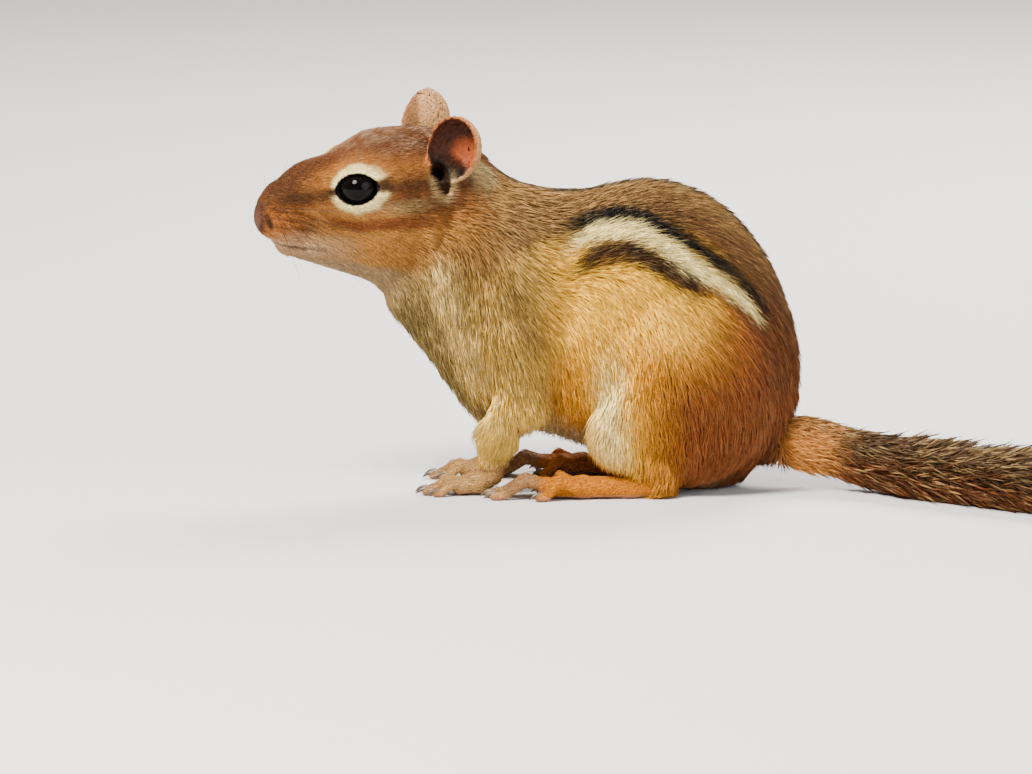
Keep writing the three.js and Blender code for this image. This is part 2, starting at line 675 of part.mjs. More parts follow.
for (const s of bothSides) {
  const side = sideName(s);
  place(`eye_${side}`, eyeball(s, 0, 14), "eye");
  place(`ear_${side}`, ear(s), "ear");
  const shankGrown = region("shank", s, GAP);
  const body = SURFACE_ERROR.body;
  const part = (name, ...cuts) => trimmed(trunk.intersect(region(name, s)), ...cuts);
  place(`thigh_${side}`, part("thigh", shankGrown, sole(s, GAP)), "thigh", body);
  place(`shank_${side}`, part("shank", sole(s, GAP)), "thigh", body);
  place(`upper_arm_${side}`, part("upper_arm"), "coat", body);
  place(`forearm_${side}`, trimmed(forearmTube(s), trunkGrown), "coat");
  const foot = joined([sole(s), ...hindToes(s).map((t) => toe(t))]);
  place(`hind_foot_${side}`, foot, "hind_foot");
  const hand = joined([palm(s), ...foreToes(s).map((t) => toe(t))]);
  place(`fore_paw_${side}`, trimmed(hand, forearmTube(s, GAP)), "paw");
  const clawOn = (t) => trimmed(claw(t), toe(t, GAP));
  hindToes(s).forEach((t, i) => place(`hind_claw_${side}_${i + 1}`, clawOn(t), "claw"));
  foreToes(s).forEach((t, i) => place(`fore_claw_${side}_${i + 1}`, clawOn(t), "claw"));
}
place("tail_root", trimmed(tailStretch(0, TAIL_SPLIT, TAIL_ROOT_RADII), trunkGrown), "tail");
place("tail_brush", trimmed(tailBrush(), trunkGrown, tailRootGrown), "tail");

// The origin is on the ground below the middle of the model
chipmunk.updateMatrixWorld(true);
const reach = new THREE.Box3().setFromObject(chipmunk);
const middle = reach.getCenter(new THREE.Vector3());
chipmunk.position.set(-middle.x, -middle.y, -reach.min.z);

export default chipmunk;
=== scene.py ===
"""A life-size eastern chipmunk for a museum shelf: one skin under a coat of tufts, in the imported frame."""
import json
import math

import bpy
import numpy as np
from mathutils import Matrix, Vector

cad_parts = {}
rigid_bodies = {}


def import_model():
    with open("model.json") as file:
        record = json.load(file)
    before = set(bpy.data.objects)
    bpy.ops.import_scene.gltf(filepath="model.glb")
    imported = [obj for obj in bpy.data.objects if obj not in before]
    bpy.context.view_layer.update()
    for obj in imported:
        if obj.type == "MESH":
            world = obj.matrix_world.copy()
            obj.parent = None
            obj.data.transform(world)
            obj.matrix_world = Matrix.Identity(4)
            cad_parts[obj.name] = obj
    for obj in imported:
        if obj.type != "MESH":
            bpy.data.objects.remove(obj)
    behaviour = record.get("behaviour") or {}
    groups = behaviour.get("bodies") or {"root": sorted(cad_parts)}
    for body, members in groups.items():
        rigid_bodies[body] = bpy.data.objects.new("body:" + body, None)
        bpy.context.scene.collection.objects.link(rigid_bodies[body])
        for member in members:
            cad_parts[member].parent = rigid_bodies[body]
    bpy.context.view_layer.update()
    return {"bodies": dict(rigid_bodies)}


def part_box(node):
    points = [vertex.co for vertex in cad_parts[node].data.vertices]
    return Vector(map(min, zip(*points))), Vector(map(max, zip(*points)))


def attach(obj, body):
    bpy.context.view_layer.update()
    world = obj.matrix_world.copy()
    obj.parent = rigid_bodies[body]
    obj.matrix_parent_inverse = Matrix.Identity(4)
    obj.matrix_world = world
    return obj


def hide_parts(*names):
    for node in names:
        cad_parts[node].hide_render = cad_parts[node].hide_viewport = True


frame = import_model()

SIDES = {"left": -1, "right": 1}
CELL = 0.46
SHARE_OF_TUFTS = 1.0
SKIN_TRIANGLES = 150_000

# Sizes in millimetres, as in the solids. The nose points along -X, the left side faces -Y.
GAP = 0.3
HEAD_CENTRE = np.array([-42.0, 0.0, 62.0])
HEAD_YAW = math.radians(13)
HEAD_ROLL = math.radians(9)
EYE_CENTRE = np.array([-16.2, 7.6, 5.5])
EYE_RADIUS = 4.5
LID_RADIUS = EYE_RADIUS + GAP + 0.7
RIGHT_PAW_BACK = 1.5
TOE_THIN = 0.12


def turn_z(angle):
    c, s = math.cos(angle), math.sin(angle)
    return np.array([[c, -s, 0], [s, c, 0], [0, 0, 1.0]])


def turn_x(angle):
    c, s = math.cos(angle), math.sin(angle)
    return np.array([[1.0, 0, 0], [0, c, -s], [0, s, c]])


HEAD_TURN = turn_z(HEAD_YAW) @ turn_x(HEAD_ROLL)


def to_head(points):
    return (points - HEAD_CENTRE) @ HEAD_TURN


def from_head(points):
    return np.asarray(points, float) @ HEAD_TURN.T + HEAD_CENTRE


# Distance fields, negative inside
def ball(points, centre, radii, pitch=0.0):
    x, y, z = (points[:, k] - centre[k] for k in range(3))
    c, s = math.cos(pitch), math.sin(pitch)
    local = [x * c - z * s, y, x * s + z * c]
    near = np.sqrt(sum((a / r) ** 2 for a, r in zip(local, radii)))
    steep = np.sqrt(sum((a / (r * r)) ** 2 for a, r in zip(local, radii)))
    return near * (near - 1) / np.maximum(steep, 1e-9)


def bar(points, start, end, start_radius, end_radius):
    start, end = np.asarray(start, float), np.asarray(end, float)
    along = end - start
    t = np.clip((points - start) @ along / (along @ along), 0, 1)
    away = points - start - t[:, None] * along
    return np.sqrt((away**2).sum(1)) - (start_radius + (end_radius - start_radius) * t)


def blend(a, b, width):
    h = np.maximum(width - np.abs(a - b), 0) / width
    return np.minimum(a, b) - h * h * width / 4


def carve(a, b, width):
    return -blend(-a, b, width)


def smooth(low, high, value):
    t = np.clip((value - low) / (high - low), 0, 1)
    return t * t * (3 - 2 * t)


def mix(first, second, share):
    return first * (1 - share) + second * share


def mirrored(points):
    return np.stack([points[:, 0], np.abs(points[:, 1]), points[:, 2]], 1)


TRUNK_FORMS = [
    (ball, ((-16, 0, 40), (24, 16.5, 24)), 6),
    (ball, ((5, 0, 40.5), (28, 19, 27)), 8),
    (ball, ((17, 0, 26.2), (22, 17.5, 26.9)), 8),
    (bar, ((-39.3, 0, 46.2), (-26, 0, 26), 12.9, 11), 7),
    (bar, ((-38, 0, 60), (-22, 0, 48), 14.5, 17), 6),
    (ball, ((-4, 0, 28), (20, 17, 18)), 8),
    (ball, ((14, 12.5, 24), (19, 10.5, 21.5)), 4),
    (bar, ((13, 14, 26), (0.5, 15.5, 15), 12, 7.4), 4),
    (bar, ((1, 15.5, 12), (9, 15, 5), 6, 4.5), 3),
    (ball, ((-21, 11.5, 38), (10.5, 7, 15)), 5),
    (bar, ((-22, 12, 34), (-21, 13, 21), 8, 6.4), 4),
]
HEAD_FORMS = [
    (ball, ((-3, 0, 3), (17, 13, 14)), 6),
    (ball, ((-6, 6, -6), (12, 8.5, 9)), 6),
    (ball, ((-18, 5, -1), (9, 5.6, 6.5)), 5),
    (bar, ((-12, 0, 5.6), (-31.5, 0, 1.4), 9.6, 4.1), 5),
    (ball, ((-24.5, 0, 3.6), (6.8, 5, 6.1)), 3),
    (bar, ((-10, 0, -8.8), (-29, 0, -7.8), 9.2, 3.8), 4),
    (ball, (tuple(EYE_CENTRE), (LID_RADIUS, LID_RADIUS, LID_RADIUS)), 2),
    (ball, ((-34.6, 0, -2.5), (2.8, 3.2, 3.8)), 3),
    (ball, ((-30.5, 2.6, -4.5), (4.6, 3, 3.4)), 3),
]


def formed(points, forms, start=None):
    d = np.full(len(points), 1e3) if start is None else start
    for form, sizes, width in forms:
        d = blend(d, form(points, *sizes), width)
    return d


def flesh(points):
    return formed(mirrored(to_head(points)), HEAD_FORMS, formed(mirrored(points), TRUNK_FORMS))


# Ears, paws, feet and tail, which the flesh takes up softly
EAR = {"centre": np.array([3.2, 11.6, 14.6]), "radii": np.array([6.2, 4.4, 7.2]), "lean": 0.12, "wall": 0.6}
EAR_FORWARD = 1.8
EAR_CANAL = (EAR["centre"] + [-2.4, 0.4, -4.2], EAR["centre"] + [-2.4, -5, -7.5], 2.4, 1.2)
EAR_NOTCH = (EAR["centre"] + [-2.8, 1.4, -4.2], EAR["centre"] + [-1.2, -0.4, -11.6], 1.7, 1.0)
EAR_LOOK = np.array([-0.5, 0.84, 0.1])
EYE_LOOK = np.array([-0.33, 0.93, 0.16]) / np.linalg.norm([-0.33, 0.93, 0.16])
EYE_OPENING = {"length": 9.6, "height": 6.6}
MOUTH = [(-23, -8.6), (-27, -8.9), (-31, -8.2), (-34, -7.2)]
TAIL_POINTS = [
    (32, 0, 11.5), (44, -3, 8.8), (58, -11, 6.5), (73, -23, 5.9), (87, -35, 5.7), (104.2, -49.2, 5.2),
]
TAIL_LENGTH = 89
GROUND = 0.15


def set_back(side):
    return RIGHT_PAW_BACK if side > 0 else 0.0


def smooth_path(points, steps):
    """A Catmull-Rom curve through the points, with this many steps between each two."""
    p = np.array(points, float)
    p = np.vstack([2 * p[0] - p[1], p, 2 * p[-1] - p[-2]])
    t = np.linspace(0, 1, steps, endpoint=False)[:, None]
    parts = []
    for a, b, c, d in zip(p, p[1:], p[2:], p[3:]):
        square, cube = 2 * a - 5 * b + 4 * c - d, 3 * b - a - 3 * c + d
        parts.append(0.5 * (2 * b + (c - a) * t + square * t**2 + cube * t**3))
    return np.vstack([*parts, p[-2:-1]])


TAIL_PATH = smooth_path(TAIL_POINTS, 5)
TAIL_WALK = np.concatenate([[0], np.cumsum(np.linalg.norm(np.diff(TAIL_PATH, axis=0), axis=1))])


def tail_radius(walk):
    return np.interp(walk, [0, 12, 24, 60, TAIL_LENGTH], [5.2, 3.6, 2.6, 2.1, 1.0])


def rope(points, path, radii, width):
    """The blended distance to a row of tapered bars."""
    d = np.full(len(points), 1e3)
    for start, end, r0, r1 in zip(path, path[1:], radii, radii[1:]):
        d = blend(d, bar(points, start, end, r0, r1), width)
    return d


def toe_path(root, heading, length, radius, arch):
    way = np.array([-math.cos(heading), math.sin(heading), 0])
    rest = radius * 0.7
    path = [root, root + way * length * 0.45 + [0, 0, arch], root + way * length * 0.85, root + way * length]
    path[2][2] = rest + arch * 0.2
    path[3][2] = rest
    return path


def hind_toes(side):
    toes = []
    for i, length in enumerate([7.4, 11.6, 12.6, 11.8, 7.8]):
        root = np.array([-9.5 if i in (0, 4) else -15, side * (13.8 + i * 1.75), 2.6])
        toes.append((root, side * (i - 2) * 0.12, length, 1.2, 1.3))
    return toes


def fore_toes(side):
    lengths = [6.2, 7.6, 7.4, 5.8]
    toes = []
    for i in range(4):
        root = np.array([set_back(side) - 34.2 + 0.5 * abs(i - 1.4), side * 12 + (i - 1.5) * 1.55, 2.3])
        toes.append((root, (i - 1.5) * 0.17, lengths[3 - i if side < 0 else i], 1.05, 0.5))
    return toes


def toes_field(points, toes, thin):
    d = np.full(len(points), 1e3)
    for root, heading, length, radius, arch in toes:
        path = toe_path(root, heading, length, radius, arch)
        radii = [radius * k - thin for k in (1.0, 1.08, 0.92, 0.8)]
        one = rope(points, path, radii, 0.4)
        tip = path[3]
        pad = (1.25 * radius, 0.95 * radius, 0.8 * radius)
        one = blend(one, ball(points, tip + [0.3, 0, -0.05], pad), 0.5)
        d = blend(d, one, 0.5)
    return d


def fore_limb_field(points, side):
    back, out = set_back(side), side * 12
    arm = [(-22.5, side * 12.6, 21), (-25.8 + back / 2, side * 12.5, 13), (-28 + back, out, 5.2)]
    d = rope(points, arm, [3.6, 3.3, 2.5], 2.5)
    for spread in (-1.0, 1.0):
        places = ((-27.8, 0.6, 4.6), (-30.5, 1, 2.8), (-34.4, 1.4, 1.9))
        palm = [(x + back, out + share * spread, z) for x, share, z in places]
        d = blend(d, rope(points, palm, [2.2, 2.0, 1.7], 1.0), 1.6)
    return blend(d, toes_field(points, fore_toes(side), TOE_THIN), 0.8)


def hind_limb_field(points, side):
    d = np.full(len(points), 1e3)
    for spread in (-1.0, 1.0):
        places = ((9, 15.6, 0.7, 2.4), (2, 16.2, 1, 2.2), (-8, 17.2, 1.5, 2.4), (-15.5, 17.4, 1.9, 2.3))
        sole = [(x, side * y + share * spread, z) for x, y, share, z in places]
        d = blend(d, rope(points, sole, [2.3, 2.1, 2.0, 1.8], 1.2), 1.6)
    return blend(d, toes_field(points, hind_toes(side), TOE_THIN), 0.8)


def tail_field(points):
    d = np.full(len(points), 1e3)
    near = points[:, 0] > 24
    d[near] = rope(points[near], TAIL_PATH, tail_radius(TAIL_WALK), 0.6)
    return d


def head_depth(q):
    """How far the skin lies under the head's coat: less and less towards the nose, the eye and the lips."""
    depth = np.interp(q[:, 0], [-37, -30, -18, 0, 12], [0.15, 0.35, 0.7, 1.3, 2.0])
    eye = np.linalg.norm(mirrored(q) - EYE_CENTRE, axis=1)
    return np.where(eye < 12, np.minimum(depth, 0.25 + 0.12 * np.maximum(eye - LID_RADIUS, 0)), depth)


def coat_depth(points, q):
    trunk = np.interp(points[:, 2], [2, 14, 26], [0.9, 1.5, 2.2])
    weight = np.maximum(smooth(6, 20, q[:, 0]), smooth(18, 34, np.abs(q[:, 2])))
    return mix(head_depth(q), trunk, weight)


def ear_fields(q):
    """The cup's outer and inner ovals, and the side of the cup's mouth, for the head's mirrored frame."""
    m = mirrored(q) + np.outer(q[:, 1] > 0, [EAR_FORWARD, 0, 0])
    outer = ball(m, EAR["centre"], EAR["radii"], EAR["lean"])
    inner = ball(m, EAR["centre"], EAR["radii"] - EAR["wall"], EAR["lean"])
    mouth = (m - EAR["centre"] - [-0.8, 0.2, 0]) @ (EAR_LOOK / np.linalg.norm(EAR_LOOK))
    return m, outer, inner, mouth


def ear_field(q):
    _, outer, inner, mouth = ear_fields(q)
    return carve(carve(outer, inner, 0.35), -mouth, 0.4)


EYE_ALONG = np.cross(np.array([-0.16, 0, 1]) - 0.16 * EYE_LOOK[2] * EYE_LOOK, EYE_LOOK)
EYE_ALONG /= np.linalg.norm(EYE_ALONG)
EYE_RISE = np.cross(EYE_LOOK, EYE_ALONG)


def almond(m, length, height):
    """An almond in front of the eye, for the head's mirrored frame."""
    radius = ((length / 2) ** 2 + (height / 2) ** 2) / height
    offset = radius - height / 2
    at = m - EYE_CENTRE
    a, out, r = at @ EYE_ALONG, at @ EYE_LOOK, at @ EYE_RISE
    arcs = [np.hypot(a, r - k * offset) - radius for k in (-1, 1)]
    return np.maximum(np.maximum(*arcs), 1.5 - out)


def lid_opening(m):
    return almond(m, EYE_OPENING["length"], EYE_OPENING["height"])


def surface_from(start, way):
    near, far = 0.0, 30.0
    for _ in range(24):
        middle = (near + far) / 2
        point = from_head([np.array(start) + np.array(way) * middle])
        if flesh(point)[0] < 0:
            near = middle
        else:
            far = middle
    return np.array(start) + np.array(way) * near


MOUTH_LINE = [surface_from((x, 0, z), (0, 1, 0)) + [0, -0.3, 0] for x, z in MOUTH]
MOUTH_LINE.append(surface_from((-31, 0, -6.9), (-1, 0, 0)) + [0.3, 0, 0])
NOSTRIL_TOP = surface_from((-35.2, 0, -1.6), (0, 1, 0))
NOSTRIL_FOOT = surface_from((-34.6, 0, -3.6), (0, 1, 0))


def skin_field(points):
    q = to_head(points)
    d = flesh(points) + coat_depth(points, q)
    d = blend(d, tail_field(points), 2.0)
    low = points[:, 2] < 31
    if low.any():
        here = points[low]
        limbs = np.full(len(here), 1e3)
        for side in SIDES.values():
            limbs = np.minimum(limbs, fore_limb_field(here, side))
            limbs = np.minimum(limbs, hind_limb_field(here, side))
        d[low] = blend(d[low], limbs, 2.0)
    near = (np.abs(q[:, 0] + 12) < 32) & (np.abs(q[:, 1]) < 24) & (np.abs(q[:, 2] - 4) < 24)
    if near.any():
        d[near] = head_details(d[near], q[near])
    return np.maximum(d, GROUND - points[:, 2])


def head_details(d, q):
    at_ear, _, inner, _ = ear_fields(q)
    d = carve(d, inner, 0.6)
    d = blend(d, ear_field(q), 1.6)
    for hollow in (EAR_CANAL, EAR_NOTCH):
        d = carve(d, bar(at_ear, *hollow), 0.6)
    m = mirrored(q)
    d = carve(d, lid_opening(m), 0.35)
    d = carve(d, rope(m, MOUTH_LINE, [0.15, 0.28, 0.34, 0.34, 0.3], 0.3), 0.5)
    return carve(d, bar(m, NOSTRIL_TOP, NOSTRIL_FOOT, 0.62, 0.42), 0.35)


def evaluated(field, points, chunk=400_000):
    return np.concatenate([field(points[i : i + chunk]) for i in range(0, len(points), chunk)])


def netted(field, low, high, cell, block=8):
    """Surface nets on a dense grid that is filled in only near the surface. Returns points and quads."""
    low = np.array(low, float)
    blocks = np.ceil((np.array(high) - low) / (cell * block)).astype(int)
    centres = low + (np.stack(np.meshgrid(*map(np.arange, blocks), indexing="ij"), -1) + 0.5) * cell * block
    coarse = evaluated(field, centres.reshape(-1, 3)).reshape(blocks)
    value = np.ones(blocks * block + 1, np.float32)
    spread = coarse
    for axis in range(3):
        spread = np.repeat(spread, block, axis)
    value[:-1, :-1, :-1] = spread
    close = np.zeros(value.shape, bool)
    for i, j, k in np.argwhere(np.abs(coarse) < cell * block * 1.25):
        start = np.array([i, j, k]) * block
        close[tuple(slice(a, a + block + 1) for a in start)] = True
    where = np.argwhere(close)
    value[close] = evaluated(field, low + where * cell)
    inside = value < 0
    corners = np.array([(i, j, k) for i in (0, 1) for j in (0, 1) for k in (0, 1)])
    size = np.array(value.shape) - 1
    count = sum(inside[tuple(slice(i, i + n) for i, n in zip(a, size))].astype(np.int8) for a in corners)
    active = (count > 0) & (count < 8)
    cells = np.argwhere(active)
    number = np.full(active.shape, -1, np.int32)
    number[active] = np.arange(len(cells))
    total, hits = np.zeros((len(cells), 3)), np.zeros(len(cells))
    for a in corners:
        for axis in np.flatnonzero(a == 0):
            b = a.copy()
            b[axis] = 1
            va, vb = value[tuple((cells + a).T)], value[tuple((cells + b).T)]
            crossed = (va < 0) != (vb < 0)
            t = np.where(crossed, va / np.where(crossed, va - vb, 1), 0)
            total += np.where(crossed[:, None], a + (b - a) * t[:, None], 0)
            hits += crossed
    verts = low + cell * (cells + total / hits[:, None])
    quads = []
    for axis in range(3):
        u, w = (axis + 1) % 3, (axis + 2) % 3
        first, second = [slice(None)] * 3, [slice(None)] * 3
        first[axis], second[axis] = slice(None, -1), slice(1, None)
        at = np.argwhere(inside[tuple(first)] != inside[tuple(second)])
        at = at[(at[:, u] > 0) & (at[:, w] > 0) & (at[:, u] < size[u]) & (at[:, w] < size[w])]
        ring = []
        for du, dw in ((-1, -1), (0, -1), (0, 0), (-1, 0)):
            c = at.copy()
            c[:, u] += du
            c[:, w] += dw
            ring.append(number[tuple(c.T)])
        ring = np.stack(ring, 1)
        outward = inside[tuple(at.T)]
        ring[~outward] = ring[~outward][:, ::-1]
        quads.append(ring)
    return verts, np.vstack(quads)


def gradient(field, points, step=0.08):
    shifts = np.eye(3) * step
    rises = [evaluated(field, points + s) - evaluated(field, points - s) for s in shifts]
    return np.stack(rises, 1) / (2 * step)


def drawn_to(field, points, rounds=2, most=0.3):
    for _ in range(rounds):
        d = evaluated(field, points)
        g = gradient(field, points)
        step = d / np.maximum((g**2).sum(1), 0.25)
        points = points - np.clip(step, -most, most)[:, None] * g
    return points


# Where a point lies on the trunk: the angle along the back's arc, and the angle down from the spine
ARC_CENTRE = (4, 26)
ARC_RADIUS = 20
STRIPE_ANGLES = (
    [10, 27, 40, 54, 67, 81, 87, 95, 104, 112, 121],
    [53, 58, 64, 67.5, 66.5, 58.5, 52, 47, 45, 47, 53],
)
UPPER_DARK = ([15, 32, 45, 70, 112, 120], [-3.0, -3.2, -3.8, -3.9, -3.7, -2.6])
LOWER_DARK = ([20, 40, 60, 72, 84, 120], [2.5, 2.6, 3.6, 3.8, 4.6, 4.7])


def back_angles(points):
    x, z = points[:, 0] - ARC_CENTRE[0], points[:, 2] - ARC_CENTRE[1]
    rho = np.hypot(x, z) - ARC_RADIUS
    y = np.abs(points[:, 1])
    return np.degrees(np.arctan2(z, x)), np.degrees(np.arctan2(y, rho)), np.hypot(y, rho)


def rgb(red, green, blue):
    """A colour as it looks on screen, from 0 to 255, as linear light."""
    c = np.array([red, green, blue]) / 255
    return np.where(c < 0.04045, c / 12.92, ((c + 0.055) / 1.055) ** 2.4)


def band(value, middle, half, soft):
    return 1 - smooth(half - soft, half + soft, np.abs(value - middle))


def between(value, low, high, soft):
    return smooth(low - soft, low + soft, value) * (1 - smooth(high - soft, high + soft, value))


def over(colour, top, mask):
    return colour + (top - colour) * mask[:, None]


def wander(points, scale, seed):
    """A soft wave between -1 and 1 that breaks straight borders."""
    rng = np.random.default_rng(seed)
    total = np.zeros(len(points))
    for _ in range(5):
        way = rng.normal(size=3)
        steps = points @ (way / np.linalg.norm(way)) * 2 * math.pi / (scale * rng.uniform(0.6, 1.6))
        total += np.sin(steps + rng.uniform(0, 6))
    return total / 3


HUES = {
    "golden": rgb(255, 198, 48), "flank": rgb(224, 152, 20), "rust": rgb(150, 82, 30),
    "deep_rust": rgb(98, 50, 22), "grizzle": rgb(142, 103, 54), "shoulder": rgb(196, 156, 72),
    # The neck hue on the next line is partly the neck's own fur colour and partly painted shade under the
    # head.
    "neck": rgb(150, 94, 32), "cream": rgb(255, 234, 158), "dark": rgb(15, 9, 6),
    "lower_dark": rgb(34, 15, 8), "rump_grizzle": rgb(96, 58, 30), "nape": rgb(214, 184, 126),
    # The chest hue on the next line is the chest's pale grey hair, darkened and greyed as painted shade.
    "belly": rgb(200, 176, 132), "shaded_chest": rgb(128, 108, 62), "tufts": rgb(250, 214, 132),
    "crown": rgb(118, 66, 30), "crown_frost": rgb(162, 128, 98), "brow": rgb(188, 120, 50),
    # The bridge hue on the next line is the nose bridge's fur darkened as painted shade on the front of the
    # face.
    "muzzle": rgb(162, 94, 36), "shaded_bridge": rgb(92, 54, 26), "cheek": rgb(200, 138, 62),
    # The chin hue on the next line is the pale grey-pink chin hair, darkened a little as painted shade.
    "eye_line": rgb(48, 26, 14), "cheek_stripe": rgb(116, 52, 18), "shaded_chin": rgb(176, 146, 108),
    # The ear cup's inside hue on the next line is darkened as painted shade; the lit hue after it is a
    # painted pool of light in the cup.
    # The nose hue on the next line is the bare nose pad's colour, darkened as painted shade.
    "lip": rgb(224, 182, 136), "nose": rgb(62, 38, 30), "ear_inner_shade": rgb(58, 26, 14),
    "ear_lit": rgb(150, 70, 30), "ear_rim": rgb(200, 104, 34), "ear_back": rgb(206, 156, 104),
    # The paw and toe hues on this and the next line are the feet's own buff, darkened and greyed as painted
    # shade.
    "arm": rgb(255, 212, 100), "paw": rgb(188, 142, 84), "temple": rgb(104, 58, 24),
    "foot": rgb(200, 118, 6), "toe": rgb(162, 118, 74), "sole": rgb(150, 98, 72),
    "tail_root": rgb(222, 146, 66), "tail_top": rgb(78, 54, 29), "tail_under": rgb(108, 58, 24),
}


def painted(colour, *layers):
    """The colour under layers of paint, each a hue and how much of it shows at each point."""
    for hue, share in layers:
        colour = over(colour, HUES[hue], share)
    return colour


def plain(hue, points):
    return np.tile(HUES[hue], (len(points), 1))


def trunk_colours(points):
    along, down, reach = back_angles(points)
    m = mirrored(points)
    x, y, z = m.T
    wave = wander(points, 9, 3)
    shade = bar(m, (-28, 18, 50), (-18, 19.5, 35), 1.5, 3.0)
    rump = smooth(62, 30, along) * (along > -60)
    # The chest's front: its pale hair painted darker as painted shade.
    shaded_chest = smooth(-22, -34, x) * (1 - smooth(44, 58, z + 0.5 * x + 16)) * (1 - smooth(9, 18, y))
    streaks = bar(m, (-39.5, 13.6, 47), (-30, 9.8, 21), 2.6, 3.2)
    streaks = 1 - smooth(-2.5, 3.5, streaks + 1.4 * wander(points, 4, 11) + 0.8 * wave)
    wide = np.interp(x, [-4, 6], [5.0, 0.0])
    under = (1 - smooth(12, 24, z + 0.35 * y)) * (1 - smooth(9, 14, y - wide)) * smooth(26, 10, x)
    knee = np.hypot((x + 2.2) / 4.4, (z - 18) / 14.5) + 0.15 * wave
    arm = (1 - smooth(11, 25, z + 1.6 * wander(points, 5, 37))) * smooth(-15, -22, x) * smooth(7, 11, y)
    off = np.radians(down - np.interp(along, *STRIPE_ANGLES)) * reach + 0.2 * wave
    narrow = np.interp(along, [15, 27, 50, 90, 108, 121], [0.4, 0.6, 0.85, 1.0, 0.95, 0.5])
    lower = off - np.interp(along, *LOWER_DARK)
    upper = off - np.interp(along, *UPPER_DARK)
    blot = 0.85 + 0.15 * wander(points, 6, 17)
    spine = np.radians(down) * reach
    return painted(
        plain("flank", points),
        ("golden", between(z + wave, 30, 54, 6) * between(x, -16, 24, 6)),
        ("rust", smooth(8, 30, x + 1.5 * wave) * (1 - smooth(38, 52, z))),
        ("rust", smooth(2, 16, x) * (1 - smooth(18, 38, z + wave))),
        ("deep_rust", 0.75 * smooth(10, 34, x + wave) * (1 - smooth(8, 34, z))),
        ("shoulder", smooth(-8, -20, x + 0.8 * wave)),
        # The upper neck under the head, darkened: partly its own fur colour, partly painted shade.
        ("neck", 0.9 * smooth(40, 52, z + 0.5 * wave) * smooth(-18, -30, x)),
        ("grizzle", (1 - smooth(38, 50, down + 2 * wave)) * smooth(30, 44, z) * smooth(-34, -20, x)),
        ("rump_grizzle", 0.55 * (1 - smooth(-1.5, 3.0, shade + 0.8 * wave))),
        ("deep_rust", 0.85 * rump * (1 - smooth(60, 84, down)) * smooth(14, 26, z)),
        ("grizzle", 0.35 * (1 - smooth(30, 50, down)) * rump * smooth(30, 50, z)),
        ("shaded_chest", 0.9 * shaded_chest),
        ("tufts", 0.8 * streaks),
        ("belly", under),
        ("golden", 0.8 * (1 - smooth(0.7, 2.3, knee)) * smooth(10, 15, y)),
        ("cream", 0.85 * (1 - smooth(0.1, 1.5, knee)) * smooth(11, 16, y)),
        ("arm", 0.9 * arm),
        ("rump_grizzle", 0.7 * (band(upper, -4.5, 3.5, 3.0) * between(along, 5, 88, 14))),
        ("deep_rust", band(lower, 0, 0.9, 0.8) * between(along, 18, 66, 6) * 0.85),
        ("deep_rust", band(lower, 0.3, 3.0 * narrow, 1.0) * between(along, 50, 119, 6) * 0.85),
        ("lower_dark", band(lower, 0, 2.3 * narrow, 0.6) * between(along, 54, 119, 6) * blot),
        ("dark", band(upper, 0, 2.0 * narrow, 0.6) * between(along, 24, 119, 6)),
        ("cream", band(off, 0, 2.0 * narrow, 0.55) * between(along, 24, 119, 5)),
        ("dark", band(spine, 0, 1.3, 0.6) * between(along, 30, 132, 8) * 0.9),
    )


EYE_LINE = ([-36, -28.5, -24.7, -21.8, -11.5, -8.3, 0.2, 8], [0.8, 2.6, 3.6, 4.2, 6.7, 6.4, 7.5, 8.5])
LOWER_CREAM = ([-24, -19.9, -13.6, -4.3, 3, 10], [1.6, 1.9, 1.6, 2.8, 4.0, 5.5])
CHEEK_STRIPE = (
    [-32, -28.5, -22.8, -16.7, -8.5, 2.1, 8.5, 14],
    [-0.4, -0.8, -1.3, -2.0, -1.2, -0.4, 1.2, 2.4],
)
WHISKER_ROWS = (-0.6, -2.2, -3.8)
NECK_MIDDLE = [-39, 0, 58]
NECK_LOOK = [-0.75, 0, 0.66]

# Where one coat piece ends and the next begins
FACE_END = -14
SHOULDER_END = -14
THIGH_TOP = 34


